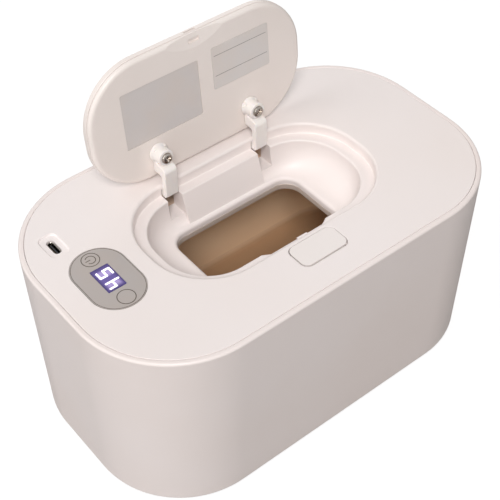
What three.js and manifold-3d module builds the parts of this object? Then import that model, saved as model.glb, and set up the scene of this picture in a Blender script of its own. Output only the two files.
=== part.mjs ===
// Baby wipe warmer with a lift-off cover, a sprung lid on two gooseneck arms and a push-button latch.
// Millimetres, +Z up. The origin is on the ground under the middle of the body, +X runs along the
// body, -Y is the side of the release button and +Y the side of the lid hinge.
import * as THREE from 'three';
import { mergeVertices } from 'three/addons/utils/BufferGeometryUtils.js';
import Module from 'manifold-3d';

const wasm = await Module();
wasm.setup();

// Driving dimensions of the body
const bodyLength = 220;
const bodyDepth = 132.5;
const bodyHalfX = bodyLength / 2;
const bodyHalfY = bodyDepth / 2;
const shellHeight = 101.9;
const footProud = 0.8;
const bodyCornerRadius = 49.6;
const sideTaper = 2.26;
const shellWall = 2.4;
const rimWidth = 2.6;
const rimRadius = 1.3;
const shellBottomRadius = 1.5;

// Clearances and cuts
const seatGap = 0.3;
const plateGap = 0.12;
const overrun = 1;

// Driving dimensions of the top panel: depths are measured down from the top face
const panelThickness = 2.2;
const panelEdgeBreak = 0.3;
const recessEndMargin = 48.9;
const recessSideMargin = 33.05;
const recessHalfX = bodyHalfX - recessEndMargin;
const recessHalfY = bodyHalfY - recessSideMargin;
const recessEndFlat = 3.3;
const recessCornerRadius = recessHalfY - recessEndFlat;
const recessRound = 1.5;
const ledgeDepth = 6;
const ledgeFillet = 0.6;
const ledgeEndWidth = 6.7;
const ledgeSideWidth = 6;
const bowlHalfX = recessHalfX - ledgeEndWidth;
const bowlHalfY = recessHalfY - ledgeSideWidth;
const bowlEndFlat = 3.4;
const bowlCornerRadius = bowlHalfY - bowlEndFlat;
const bowlCentreY = 0.8;
const bowlRound = 1;
const bowlWall = 2;
const lipDepth = 21.3;
const lipRadius = 1.9;
const flankEndRun = 17.7;
const flankSideRun = 5.7;
const throatHalfX = bowlHalfX - flankEndRun;
const throatHalfY = bowlHalfY - flankSideRun;
const throatCornerRadius = 9;
const throatCentreY = -1;
const throatLength = 3.7;
const throatDepth = lipDepth + throatLength;

// Driving dimensions of the lid and its hinge
const lidEndGap = 0.8;
const lidSideGap = 0.9;
const lidHalfX = recessHalfX - lidEndGap;
const lidHalfY = recessHalfY - lidSideGap;
const lidCornerRadius = lidHalfY - recessEndFlat;
const lidThickness = 5.2;
const lidOpenAngle = THREE.MathUtils.degToRad(95.6);
const pivotBehindRecess = 5.2;
const pivotY = recessHalfY + pivotBehindRecess;
const pivotDepth = 4.5;
const pinRadius = 1;
const hubRadius = 2;
const armCentreX = 27;
const armWidth = 7;
const armSideGap = 0.55;

// Driving dimensions of the latch
const buttonHalfX = 12.75;
const buttonHalfY = 6.75;
const buttonCornerRadius = 3.5;
const buttonAheadOfRecess = 9.55;
const buttonCentreY = -recessHalfY - buttonAheadOfRecess;
const buttonSideGap = 0.45;
const latchTravel = 1.2;

// Driving dimensions of the controls
const overlayEndDistance = 27;
const overlayCentreX = overlayEndDistance - bodyHalfX;
const overlayHalfX = 13.1;
const overlayHalfY = 19.75;
const overlayCornerRadius = 13;
const overlayThickness = 0.8;
const windowHalfX = 4.75;
const windowHalfY = 7.75;
const windowCornerRadius = 0.4;
const touchKeyOffsetY = 14;
const socketEndDistance = 19.2;
const socketSideShare = 0.477;
const socketX = socketEndDistance - bodyHalfX;
const socketY = bodyHalfY * socketSideShare;
const socketHalfX = 1.63;
const socketHalfY = 4.47;

// Heights that several pieces share
const topZ = footProud + shellHeight;
const ledgeZ = topZ - ledgeDepth;
const lipZ = topZ - lipDepth;
const panelUnderZ = topZ - panelThickness;
const pivotZ = topZ - pivotDepth;

const cornerSteps = 8;
const roundSides = 24;
const smallSides = 16;
const screwSides = 12;

// Rings, skins and solids

// One rounded rectangle of points, counterclockwise seen from above.
function ringPoints({ x, y, r, z, cx = 0, cy = 0 }) {
  const points = [];
  const corners = [[1, 1], [-1, 1], [-1, -1], [1, -1]];
  corners.forEach(([sideX, sideY], quarter) => {
    for (let step = 0; step <= cornerSteps; step++) {
      const angle = (quarter + step / cornerSteps) * Math.PI / 2;
      points.push([
        cx + sideX * (x - r) + r * Math.cos(angle),
        cy + sideY * (y - r) + r * Math.sin(angle),
        z,
      ]);
    }
  });
  return points;
}

// Skin through a list of rings: a closed loop of rings, or ends that are capped flat.
function skin(rings, looped = false) {
  const loops = rings.map(ringPoints);
  const count = loops[0].length;
  const faces = [];
  const strips = looped ? loops.length : loops.length - 1;
  for (let i = 0; i < strips; i++) {
    const low = i * count;
    const high = ((i + 1) % loops.length) * count;
    for (let j = 0; j < count; j++) {
      const next = (j + 1) % count;
      faces.push(low + j, low + next, high + next, low + j, high + next, high + j);
    }
  }
  if (!looped) {
    const last = (loops.length - 1) * count;
    for (let j = 1; j < count - 1; j++) {
      faces.push(0, j + 1, j, last, last + j, last + j + 1);
    }
  }
  const geometry = new THREE.BufferGeometry();
  geometry.setAttribute('position', new THREE.Float32BufferAttribute(loops.flat(2), 3));
  geometry.setIndex(faces);
  return facingOut(geometry);
}

// Six times the signed volume of an indexed geometry, to tell which way its faces point.
function signedVolume(geometry) {
  const position = geometry.attributes.position;
  const corners = [new THREE.Vector3(), new THREE.Vector3(), new THREE.Vector3()];
  let sum = 0;
  for (let i = 0; i < geometry.index.count; i += 3) {
    corners.forEach((corner, k) => corner.fromBufferAttribute(position, geometry.index.getX(i + k)));
    sum += corners[0].dot(corners[1].clone().cross(corners[2]));
  }
  return sum;
}

function facingOut(geometry) {
  if (signedVolume(geometry) < 0) {
    const flipped = Array.from(geometry.index.array);
    for (let i = 0; i < flipped.length; i += 3) {
      [flipped[i], flipped[i + 1]] = [flipped[i + 1], flipped[i]];
    }
    geometry.setIndex(flipped);
  }
  return geometry;
}

function toSolid(geometry) {
  const plain = new THREE.BufferGeometry();
  plain.setAttribute('position', geometry.attributes.position);
  if (geometry.index) plain.setIndex(geometry.index);
  const merged = mergeVertices(plain);
  return new wasm.Manifold(new wasm.Mesh({
    numProp: 3,
    vertProperties: new Float32Array(merged.attributes.position.array),
    triVerts: new Uint32Array(merged.index.array),
  }));
}

function toGeometry(solid) {
  const mesh = solid.getMesh();
  const geometry = new THREE.BufferGeometry();
  geometry.setAttribute('position', new THREE.BufferAttribute(new Float32Array(mesh.vertProperties), 3));
  geometry.setIndex(new THREE.BufferAttribute(new Uint32Array(mesh.triVerts), 1));
  geometry.computeVertexNormals();
  return geometry;
}

function join(base, ...others) {
  return toGeometry(others.reduce((sum, other) => sum.add(toSolid(other)), toSolid(base)));
}

function cut(base, ...tools) {
  return toGeometry(tools.reduce((rest, tool) => rest.subtract(toSolid(tool)), toSolid(base)));
}

function common(first, second) {
  return toGeometry(toSolid(first).intersect(toSolid(second)));
}

// Upright slab with rounded corners between two heights.
function slab({ x, y, r, low, high, cx = 0, cy = 0 }) {
  return skin([{ x, y, r, z: low, cx, cy }, { x, y, r, z: high, cx, cy }]);
}

// Box from its lowest and highest corners.
function box(low, high) {
  const size = high.map((value, axis) => value - low[axis]);
  const middle = high.map((value, axis) => (value + low[axis]) / 2);
  return new THREE.BoxGeometry(...size).translate(...middle);
}

function uprightRod(radius, low, high, x, y, sides = smallSides) {
  return new THREE.CylinderGeometry(radius, radius, high - low, sides)
    .rotateX(Math.PI / 2)
    .translate(x, y, (low + high) / 2);
}

function crossRod(radius, low, high, y, z, sides = roundSides) {
  return new THREE.CylinderGeometry(radius, radius, high - low, sides)
    .rotateZ(Math.PI / 2)
    .translate((low + high) / 2, y, z);
}

// Outline in the YZ plane, pushed along X from one side to the other.
function profileAlongX(points, low, high) {
  const shape = new THREE.Shape(points.map(([y, z]) => new THREE.Vector2(y, z)));
  return new THREE.ExtrudeGeometry(shape, { depth: high - low, bevelEnabled: false })
    .rotateX(Math.PI / 2)
    .rotateZ(Math.PI / 2)
    .translate(low, 0, 0);
}

// Points of an arc about a centre, both ends included.
function arc(centreY, centreZ, radius, from, to, steps) {
  const points = [];
  for (let step = 0; step <= steps; step++) {
    const angle = from + (to - from) * step / steps;
    points.push([centreY + radius * Math.cos(angle), centreZ + radius * Math.sin(angle)]);
  }
  return points;
}

function roundSection(radius, sides) {
  const section = new THREE.Shape();
  section.absarc(0, 0, radius, 0, Math.PI * 2);
  return new THREE.Shape(section.getPoints(sides).slice(0, sides));
}

function tubeAlong(points, radius, steps, sides = 8) {
  const curve = new THREE.CatmullRomCurve3(points.map((point) => new THREE.Vector3(...point)));
  return new THREE.ExtrudeGeometry(roundSection(radius, sides), { steps, extrudePath: curve });
}

// Coil wound about +Z from one height to another.
class CoilCurve extends THREE.Curve {
  constructor(radius, low, high, turns) {
    super();
    Object.assign(this, { radius, low, high, turns });
  }

  getPoint(t, target = new THREE.Vector3()) {
    const angle = t * this.turns * Math.PI * 2;
    return target.set(
      this.radius * Math.cos(angle),
      this.radius * Math.sin(angle),
      THREE.MathUtils.lerp(this.low, this.high, t),
    );
  }
}

const coilSteps = 8;
const wireSides = 5;

function coil(radius, wireRadius, low, high, turns) {
  return new THREE.ExtrudeGeometry(roundSection(wireRadius, wireSides), {
    steps: Math.round(turns * coilSteps),
    extrudePath: new CoilCurve(radius, low, high, turns),
  });
}

// Materials

function finish(color, roughness, metalness = 0) {
  return new THREE.MeshStandardMaterial({ color, roughness, metalness });
}

const shellWhite = finish(0xf0e8e4, 0.42);
const lidWhite = finish(0xeae2dc, 0.4);
const armWhite = finish(0xeceae8, 0.35);
const tankBrown = finish(0xb08a68, 0.6);
const innerGrey = finish(0xb9b4b0, 0.6);
const darkPlastic = finish(0x2a2a2c, 0.5);
const rubberGrey = finish(0x8c8884, 0.85);
const feltWhite = finish(0xdcd8d0, 0.95);
const overlayGrey = finish(0xb6b0aa, 0.4);
const displayViolet = finish(0x6e5abe, 0.2);
const steel = finish(0xc8c8c8, 0.25, 1);
const springSteel = finish(0x9a9a9a, 0.35, 1);
const aluminium = finish(0xb4b0ac, 0.4, 0.9);
const filmAmber = finish(0xb87828, 0.35);
const boardGreen = finish(0x1f6a3c, 0.5);
const ceramicWhite = finish(0xe6e2da, 0.5);
const leadRed = finish(0xb02020, 0.5);
const leadBlack = finish(0x202020, 0.5);
const labelSilver = finish(0xc6bfba, 0.45);

// Scene graph: the base stands still, the cover lifts off it, and the lid turns about the hinge pin

const warmer = new THREE.Group();
const cover = new THREE.Group();
warmer.add(cover);
const openLid = new THREE.Group();
openLid.position.set(0, pivotY, pivotZ);
openLid.rotation.x = -lidOpenAngle;
cover.add(openLid);

function addPiece(group, name, geometry, material) {
  const mesh = new THREE.Mesh(geometry, material);
  mesh.name = name;
  group.add(mesh);
  return mesh;
}

// The lid's pieces are drawn closed, then carried by the group that turns about the pin.
function addLidPiece(name, geometry, material) {
  return addPiece(openLid, name, geometry.clone().translate(0, -pivotY, -pivotZ), material);
}

// Outer shell, drafted inwards towards the ground

function taperAt(z) {
  return sideTaper * (topZ - z) / shellHeight;
}

function shellRing(inset, z) {
  const draw = inset + taperAt(z);
  return { x: bodyHalfX - draw, y: bodyHalfY - draw, r: bodyCornerRadius - draw, z };
}

const quarterShare = 1 - Math.SQRT1_2;
const shoulderDepth = panelThickness + seatGap;
const shoulderWidth = 2;
const shoulderThickness = 2;
const rimBreak = 0.3;

// Stack under the throat: pan floor, heating film and heater plate, then the rim of the tank
const panFloorThickness = 1.5;
const filmThickness = 0.3;
const filmGap = 0.2;
const heaterThickness = 1.2;
const tankRimGap = 0.5;
const panFloorDepth = throatDepth + seatGap;
const panUnderDepth = panFloorDepth + panFloorThickness;
const filmDepth = panUnderDepth + filmGap;
const heaterDepth = filmDepth + filmThickness + filmGap;
const heaterUnderDepth = heaterDepth + heaterThickness;
const tankTopDepth = heaterUnderDepth + tankRimGap;
const flangeThickness = 2;
const flangeSeatDepth = tankTopDepth + flangeThickness + seatGap;
const flangeSeatWidth = 2.9;
const flangeSeatThickness = 1.5;

function buildOuterShell() {
  const bottom = footProud;
  const innerRim = rimWidth;
  const shoulder = rimWidth + shoulderWidth;
  const shoulderFootDepth = shoulderDepth + shoulderThickness;
  const seat = shellWall + flangeSeatWidth;
  const seatFootDepth = flangeSeatDepth + flangeSeatThickness;
  return skin([
    shellRing(shellBottomRadius, bottom),
    shellRing(shellBottomRadius * quarterShare, bottom + shellBottomRadius * quarterShare),
    shellRing(0, bottom + shellBottomRadius),
    shellRing(0, topZ - rimRadius),
    shellRing(rimRadius * quarterShare, topZ - rimRadius * quarterShare),
    shellRing(rimRadius, topZ),
    shellRing(innerRim - rimBreak, topZ),
    shellRing(innerRim, topZ - rimBreak),
    shellRing(innerRim, topZ - shoulderDepth),
    shellRing(shoulder, topZ - shoulderDepth),
    shellRing(shoulder, topZ - shoulderFootDepth),
    shellRing(shellWall, topZ - shoulderFootDepth - shoulder + shellWall),
    shellRing(shellWall, topZ - flangeSeatDepth),
    shellRing(seat, topZ - flangeSeatDepth),
    shellRing(seat, topZ - seatFootDepth),
    shellRing(shellWall, topZ - seatFootDepth - flangeSeatWidth),
    shellRing(shellWall, bottom),
  ], true);
}

addPiece(warmer, 'outer_shell', buildOuterShell(), shellWhite);

// Inner tank that holds the wipes, hung by its flange and screwed down through the bottom plate

const tankEndSpace = 12;
const tankSideSpace = 14.25;
const tankHalfX = bodyHalfX - tankEndSpace;
const tankHalfY = bodyHalfY - tankSideSpace;
const tankCornerRadius = 28;
const tankWall = 1.8;
const tankTaper = 1;
const tankFloorFillet = 3;
const plateClearance = 0.6;
const plateThickness = 2.2;
const plateLowZ = footProud + plateClearance;
const plateHighZ = plateLowZ + plateThickness;
const tankLift = 3.4;
const tankUnderZ = plateHighZ + tankLift;
const tankFloorZ = tankUnderZ + tankWall;
const tankTopZ = topZ - tankTopDepth;
const baseScrewEndDistance = 50;
const baseScrewSideDistance = 26.25;
const baseScrewX = bodyHalfX - baseScrewEndDistance;
const baseScrewY = bodyHalfY - baseScrewSideDistance;
const tankBossRadius = 3.6;
const bigScrewRadius = 1.1;
const bigBoreRadius = 1.45;
const bigHeadRadius = 2.6;
const bigHeadHeight = 1.2;

function tankRing(grow, z) {
  const draw = tankTaper * (tankTopZ - z) / (tankTopZ - tankUnderZ) - grow;
  return { x: tankHalfX - draw, y: tankHalfY - draw, r: tankCornerRadius - draw, z };
}

const fourCorners = [['front_left', -1, -1], ['front_right', 1, -1], ['back_left', -1, 1], ['back_right', 1, 1]];

function buildInnerTank() {
  const flange = shellWall + seatGap;
  const flangeUnderZ = tankTopZ - flangeThickness;
  const cup = skin([
    tankRing(tankWall - tankFloorFillet, tankUnderZ),
    tankRing(tankWall, tankUnderZ + tankFloorFillet),
    tankRing(tankWall, flangeUnderZ),
    shellRing(flange, flangeUnderZ),
    shellRing(flange, tankTopZ),
    tankRing(0, tankTopZ),
    tankRing(0, tankFloorZ + tankFloorFillet),
    tankRing(-tankFloorFillet, tankFloorZ),
  ]);
  const bosses = fourCorners.map(([, sideX, sideY]) => uprightRod(
    tankBossRadius, plateHighZ + seatGap, tankUnderZ + tankWall / 2, sideX * baseScrewX, sideY * baseScrewY));
  const bores = fourCorners.map(([, sideX, sideY]) => uprightRod(
    bigBoreRadius, plateHighZ - overrun, tankUnderZ, sideX * baseScrewX, sideY * baseScrewY));
  return cut(join(cup, ...bosses), ...bores);
}

addPiece(warmer, 'inner_tank', buildInnerTank(), tankBrown);

const wrapThickness = 2.6;
const wrapEndGap = 4;

function buildInsulationWrap() {
  const low = tankUnderZ + tankFloorFillet;
  const high = topZ - flangeSeatDepth - flangeSeatThickness - wrapEndGap;
  const inner = tankWall + seatGap;
  return skin([
    tankRing(inner, low),
    tankRing(inner + wrapThickness, low),
    tankRing(inner + wrapThickness, high),
    tankRing(inner, high),
  ], true);
}

addPiece(warmer, 'insulation_wrap', buildInsulationWrap(), feltWhite);

// Bottom plate, its screws and the rubber feet in their pockets

const footEndDistance = 30;
const footSideDistance = 30.25;
const footX = bodyHalfX - footEndDistance;
const footY = bodyHalfY - footSideDistance;
const footRadius = 7;
const footPocketDepth = 1.1;
const counterboreRadius = bigHeadRadius + seatGap;
const counterboreDepth = 1.2;

function buildBottomPlate() {
  const edge = shellWall + seatGap;
  const plate = skin([shellRing(edge, plateLowZ), shellRing(edge, plateHighZ)]);
  const tools = fourCorners.flatMap(([, sideX, sideY]) => [
    uprightRod(footRadius + seatGap, plateLowZ - overrun, plateLowZ + footPocketDepth,
      sideX * footX, sideY * footY, roundSides),
    uprightRod(counterboreRadius, plateLowZ - overrun, plateLowZ + counterboreDepth,
      sideX * baseScrewX, sideY * baseScrewY),
    uprightRod(bigBoreRadius, plateLowZ - overrun, plateHighZ + overrun,
      sideX * baseScrewX, sideY * baseScrewY),
  ]);
  return cut(plate, ...tools);
}

addPiece(warmer, 'bottom_plate', buildBottomPlate(), shellWhite);

// Screw with a low domed head. It points up from its head when the head's face is its lowest point.
const crossWidth = 0.5;
const domeShare = 0.55;
const crossDepthShare = 0.7;

function screw(shankRadius, headRadius, headHeight, length) {
  const dome = headHeight * domeShare;
  const profile = [
    new THREE.Vector2(0, 0),
    new THREE.Vector2(headRadius * Math.cos(Math.PI / 4), headHeight - dome - dome * Math.SQRT1_2),
    new THREE.Vector2(headRadius, headHeight),
    new THREE.Vector2(shankRadius, headHeight),
    new THREE.Vector2(shankRadius, headHeight + length),
    new THREE.Vector2(0, headHeight + length),
  ];
  const body = new THREE.LatheGeometry(profile, screwSides).rotateX(Math.PI / 2);
  const reach = headRadius * crossDepthShare;
  const depth = headHeight * crossDepthShare;
  const half = crossWidth / 2;
  return cut(body,
    box([-reach, -half, -overrun], [reach, half, depth]),
    box([-half, -reach, -overrun], [half, reach, depth]));
}

fourCorners.forEach(([corner, sideX, sideY]) => {
  const head = plateLowZ + counterboreDepth - seatGap - bigHeadHeight;
  const length = tankUnderZ - seatGap - head - bigHeadHeight;
  const piece = addPiece(warmer, `base_screw_${corner}`,
    screw(bigScrewRadius, bigHeadRadius, bigHeadHeight, length), steel);
  piece.position.set(sideX * baseScrewX, sideY * baseScrewY, head);

  const foot = uprightRod(footRadius, 0, plateLowZ + footPocketDepth - seatGap,
    sideX * footX, sideY * footY, roundSides);
  addPiece(warmer, `foot_${corner}`, foot, rubberGrey);
});

// Top panel: a plate with the lid recess, the bowl and the throat let down from it

function panelRing(inset, z) {
  return { x: bodyHalfX - inset, y: bodyHalfY - inset, r: bodyCornerRadius - inset, z };
}

function recessRing(grow, z) {
  return { x: recessHalfX + grow, y: recessHalfY + grow, r: recessCornerRadius + grow, z };
}

function bowlRing(grow, z) {
  return { x: bowlHalfX + grow, y: bowlHalfY + grow, r: bowlCornerRadius + grow, z, cy: bowlCentreY };
}

function throatRing(grow, z) {
  return {
    x: throatHalfX + grow, y: throatHalfY + grow, r: throatCornerRadius + grow, z, cy: throatCentreY,
  };
}

// Ring on the bowl's quarter-round flank: angle 0 is its upper edge and a right angle its foot.
function flankRing(angle, thickness) {
  const upper = bowlRing(0, ledgeZ - bowlRound);
  const lower = throatRing(lipRadius, lipZ);
  const across = 1 - Math.cos(angle);
  const grow = thickness * Math.cos(angle);
  const mix = (key) => THREE.MathUtils.lerp(upper[key], lower[key], across);
  return {
    x: mix('x') + grow,
    y: mix('y') + grow,
    r: mix('r') + grow,
    cy: mix('cy'),
    z: THREE.MathUtils.lerp(upper.z, lower.z, Math.sin(angle)) - thickness * Math.sin(angle),
  };
}

const flankSteps = 6;
const panelEdge = rimWidth + seatGap;

// The open space from above the panel down through the throat.
function recessSpace() {
  const flank = [];
  for (let step = 1; step < flankSteps; step++) {
    flank.push(flankRing(step / flankSteps * Math.PI / 2, 0));
  }
  return skin([
    recessRing(recessRound, topZ + overrun),
    recessRing(recessRound, topZ),
    recessRing(recessRound * quarterShare, topZ - recessRound * quarterShare),
    recessRing(0, topZ - recessRound),
    recessRing(0, ledgeZ + ledgeFillet),
    recessRing(-ledgeFillet * quarterShare, ledgeZ + ledgeFillet * quarterShare),
    recessRing(-ledgeFillet, ledgeZ),
    bowlRing(bowlRound, ledgeZ),
    bowlRing(bowlRound * quarterShare, ledgeZ - bowlRound * quarterShare),
    bowlRing(0, ledgeZ - bowlRound),
    ...flank,
    throatRing(lipRadius, lipZ),
    throatRing(lipRadius * quarterShare, lipZ - lipRadius * quarterShare),
    throatRing(0, lipZ - lipRadius),
    throatRing(0, topZ - throatDepth - overrun),
  ]);
}

// The plate and the walls around that space, before it is cut out of them.
function recessWalls() {
  const flank = [];
  for (let step = 1; step < flankSteps; step++) {
    flank.push(flankRing(step / flankSteps * Math.PI / 2, bowlWall));
  }
  return skin([
    panelRing(panelEdge + panelEdgeBreak, topZ),
    panelRing(panelEdge, topZ - panelEdgeBreak),
    panelRing(panelEdge, panelUnderZ),
    recessRing(bowlWall, panelUnderZ),
    recessRing(bowlWall, ledgeZ - bowlWall),
    bowlRing(bowlWall, ledgeZ - bowlWall),
    ...flank,
    throatRing(bowlWall, lipZ - bowlWall),
    throatRing(bowlWall, topZ - throatDepth),
  ]);
}

// Channels in the back of the recess that the gooseneck arms swing through
const notchInner = armCentreX - armWidth / 2 - armSideGap;
const notchOuter = armCentreX + armWidth / 2 + armSideGap;
const channelDepth = 17;
const ledgeCutReach = 18.2;
const channelFrontY = recessHalfY - ledgeCutReach;
const channelBackY = recessHalfY + bowlWall;
const hubSpaceBehindPivot = 3.4;
const hubSpaceBackY = pivotY + hubSpaceBehindPivot;

function channelBlock(side) {
  return box(
    [Math.min(side * (notchInner - bowlWall), side * (notchOuter + bowlWall)),
      channelFrontY, topZ - channelDepth - bowlWall],
    [Math.max(side * (notchInner - bowlWall), side * (notchOuter + bowlWall)),
      channelBackY, ledgeZ - bowlWall / 2]);
}

// Flat block between the two channels, in front of the bowl's back flank
const blockTopInset = 4.8;
const blockEdgeInset = 5.4;
const blockEdgeDepth = 6.6;
const blockRootInset = 3.2;
const blockRootDepth = 7.6;
const blockFootInset = 9.5;
const blockFootDepth = 22.5;

function hingeBlock() {
  const lipEdgeY = throatCentreY + throatHalfY + lipRadius;
  return profileAlongX([
    [recessHalfY - blockRootInset, ledgeZ],
    [recessHalfY - blockTopInset, ledgeZ],
    [recessHalfY - blockEdgeInset, topZ - blockEdgeDepth],
    [lipEdgeY, lipZ],
    [recessHalfY - blockFootInset, topZ - blockFootDepth],
    [recessHalfY - blockRootInset, topZ - blockRootDepth],
  ], -notchInner, notchInner);
}

function channelTools(side) {
  const low = Math.min(side * notchInner, side * notchOuter);
  const high = Math.max(side * notchInner, side * notchOuter);
  return [
    box([low, channelFrontY, topZ - channelDepth], [high, recessHalfY, ledgeZ + overrun]),
    box([low, recessHalfY - overrun, topZ - channelDepth], [high, channelBackY + overrun, panelUnderZ]),
  ];
}

// Finger notch in the front of the ledge, an arc that ends on the bowl's edge, and the groove for
// the latch tongue
const pocketHalfX = 19;
const pocketFrontWall = 1.3;
const pocketArcSides = 96;
const pocketDepth = 9.6;
const pocketBackY = ledgeCutReach - recessHalfY;
const tongueHalfX = 4.5;
const tongueThickness = 0.9;
const tongueWallGap = 0.25;
const noseHalfX = 2.8;
const noseDepth = 1.55;
const noseThickness = 0.6;
const noseReach = 0.9;
const grooveSideGap = 0.6;
const grooveSkin = 1.2;
const grooveFrontGap = 0.4;
const tongueBackY = -recessHalfY - tongueWallGap;
const tongueFrontY = tongueBackY - tongueThickness;

function latchBlock() {
  return box(
    [-pocketHalfX - bowlWall, -recessHalfY - bowlWall, topZ - pocketDepth - bowlWall],
    [pocketHalfX + bowlWall, pocketBackY, ledgeZ - bowlWall / 2]);
}

function latchTools() {
  const arcFrontY = pocketFrontWall - recessHalfY;
  const sagitta = bowlCentreY - bowlHalfY - arcFrontY;
  const arcRadius = (pocketHalfX ** 2 + sagitta ** 2) / (2 * sagitta);
  return [
    common(
      box([-pocketHalfX, -recessHalfY, topZ - pocketDepth], [pocketHalfX, pocketBackY, ledgeZ + overrun]),
      uprightRod(arcRadius, topZ - pocketDepth - overrun, ledgeZ + overrun * 2,
        0, arcFrontY + arcRadius, pocketArcSides),
    ),
    box([-tongueHalfX - grooveSideGap, tongueFrontY - latchTravel - grooveFrontGap,
      topZ - pocketDepth - bowlWall - overrun],
    [tongueHalfX + grooveSideGap, -recessHalfY + seatGap, topZ - grooveSkin]),
  ];
}

// Screw bosses under the panel
const smallScrewRadius = 0.85;
const smallBoreRadius = 1.15;
const smallHeadRadius = 2;
const smallHeadHeight = 1.1;
const smallBossRadius = 2.5;
const coverScrewEndDistance = 42;
const coverScrewSideDistance = 17.25;
const coverScrewX = bodyHalfX - coverScrewEndDistance;
const coverScrewY = bodyHalfY - coverScrewSideDistance;
const coverBossRadius = 3;
const coverBoreLength = 9;
const carrierScrewX = 10;
const carrierScrewBehindPivot = 9.1;
const carrierScrewY = pivotY + carrierScrewBehindPivot;
const carrierLugDepth = 6.3;
const carrierBoreLength = 3;
const housingScrewX = 18.4;
const housingScrewShift = 0.25;
const housingScrewY = buttonCentreY - housingScrewShift;
const housingFloorDepth = 12.7;
const housingBoreLength = 6;
const boardDepth = 9;
const boardThickness = 1.6;
const boardHalfX = 15.5;
const boardHalfYShare = 0.468;
const boardHalfY = bodyHalfY * boardHalfYShare;
const boardShiftX = 0.5;
const boardShiftYShare = 0.106;
const boardCentreX = overlayCentreX + boardShiftX;
const boardCentreY = bodyHalfY * boardShiftYShare;
const boardScrewInset = 5;
const boardScrewX = boardCentreX + boardHalfX - boardScrewInset;
const boardScrewOffsetY = boardHalfY - boardScrewInset;
const boardBoreLength = 5;
const boardUnderZ = topZ - boardDepth - boardThickness;

// Places of the bosses: each has its reach down from the top face, its radius and its bore.
const bosses = [
  ...fourCorners.map(([, sideX, sideY]) => ({
    x: sideX * coverScrewX, y: sideY * coverScrewY, depth: panFloorDepth - seatGap,
    radius: coverBossRadius, bore: bigBoreRadius, boreLength: coverBoreLength,
  })),
  ...[-1, 1].map((side) => ({
    x: side * carrierScrewX, y: carrierScrewY, depth: carrierLugDepth - seatGap,
    radius: smallBossRadius, bore: smallBoreRadius, boreLength: carrierBoreLength,
  })),
  ...[-1, 1].map((side) => ({
    x: side * housingScrewX, y: housingScrewY, depth: housingFloorDepth - seatGap,
    radius: smallBossRadius, bore: smallBoreRadius, boreLength: housingBoreLength,
  })),
  ...[-1, 1].map((side) => ({
    x: boardScrewX, y: boardCentreY + side * boardScrewOffsetY, depth: boardDepth - seatGap,
    radius: smallBossRadius, bore: smallBoreRadius, boreLength: boardBoreLength,
  })),
];

// Openings in the panel for the button, the controls and the socket
const buttonRearGap = 0.35;
const buttonFrontGap = 0.7;
const overlayPocketGap = 0.2;
const windowGap = 0.15;
const socketDishHalfX = 4.65;
const socketDishHalfY = 7.65;
const socketDishRadius = 3;
const socketDishDepth = 1;
const socketGap = 0.3;

function panelTools() {
  const low = panelUnderZ - overrun;
  const high = topZ + overrun;
  const holeHalfY = buttonHalfY + (buttonRearGap + buttonFrontGap) / 2;
  return [
    slab({
      x: buttonHalfX + buttonSideGap, y: holeHalfY, r: buttonCornerRadius + buttonSideGap,
      low, high, cy: buttonCentreY + (buttonRearGap - buttonFrontGap) / 2,
    }),
    slab({
      x: overlayHalfX + overlayPocketGap, y: overlayHalfY + overlayPocketGap,
      r: overlayCornerRadius + overlayPocketGap,
      low: topZ - overlayThickness - overlayPocketGap, high, cx: overlayCentreX,
    }),
    slab({
      x: windowHalfX + windowGap, y: windowHalfY + windowGap, r: windowCornerRadius + windowGap,
      low, high, cx: overlayCentreX,
    }),
    slab({
      x: socketDishHalfX, y: socketDishHalfY, r: socketDishRadius,
      low: topZ - socketDishDepth, high, cx: socketX, cy: socketY,
    }),
    slab({
      x: socketHalfX + socketGap, y: socketHalfY + socketGap, r: socketHalfX + socketGap,
      low, high, cx: socketX, cy: socketY,
    }),
  ];
}

function buildTopPanel() {
  const added = bosses.map(({ x, y, depth, radius }) => uprightRod(
    radius, topZ - depth, panelUnderZ + panelThickness / 2, x, y));
  const bored = bosses.map(({ x, y, depth, bore, boreLength }) => uprightRod(
    bore, topZ - depth - overrun, topZ - depth + boreLength, x, y));
  const walls = join(recessWalls(), channelBlock(-1), channelBlock(1), latchBlock(), ...added);
  const hollow = join(cut(walls, recessSpace()), hingeBlock());
  return cut(hollow, ...channelTools(-1), ...channelTools(1), ...latchTools(), ...panelTools(), ...bored);
}

addPiece(cover, 'top_panel', buildTopPanel(), shellWhite);

// Cover pan under the electronics, and the heater below it

const panWall = 1.6;
const panWallGap = 0.5;
const collarWall = 1;
const collarInset = 0.1;
const heaterEndReach = 35.3;
const heaterSideReach = 22.5;
const heaterHalfX = throatHalfX + heaterEndReach;
const heaterHalfY = throatHalfY + heaterSideReach;
const heaterCornerRadius = 20;
const filmBorder = 4;
const fuseBesideThroat = 19.3;
const fuseX = throatHalfX + fuseBesideThroat;
const fuseRadius = 2;
const fuseHalfLength = 9;
const fuseWindowMargin = 1;
const sensorY = 24;
const sensorRadius = 1.5;

function heaterRing(grow, z) {
  return { x: heaterHalfX + grow, y: heaterHalfY + grow, r: heaterCornerRadius + grow, z };
}

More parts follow.
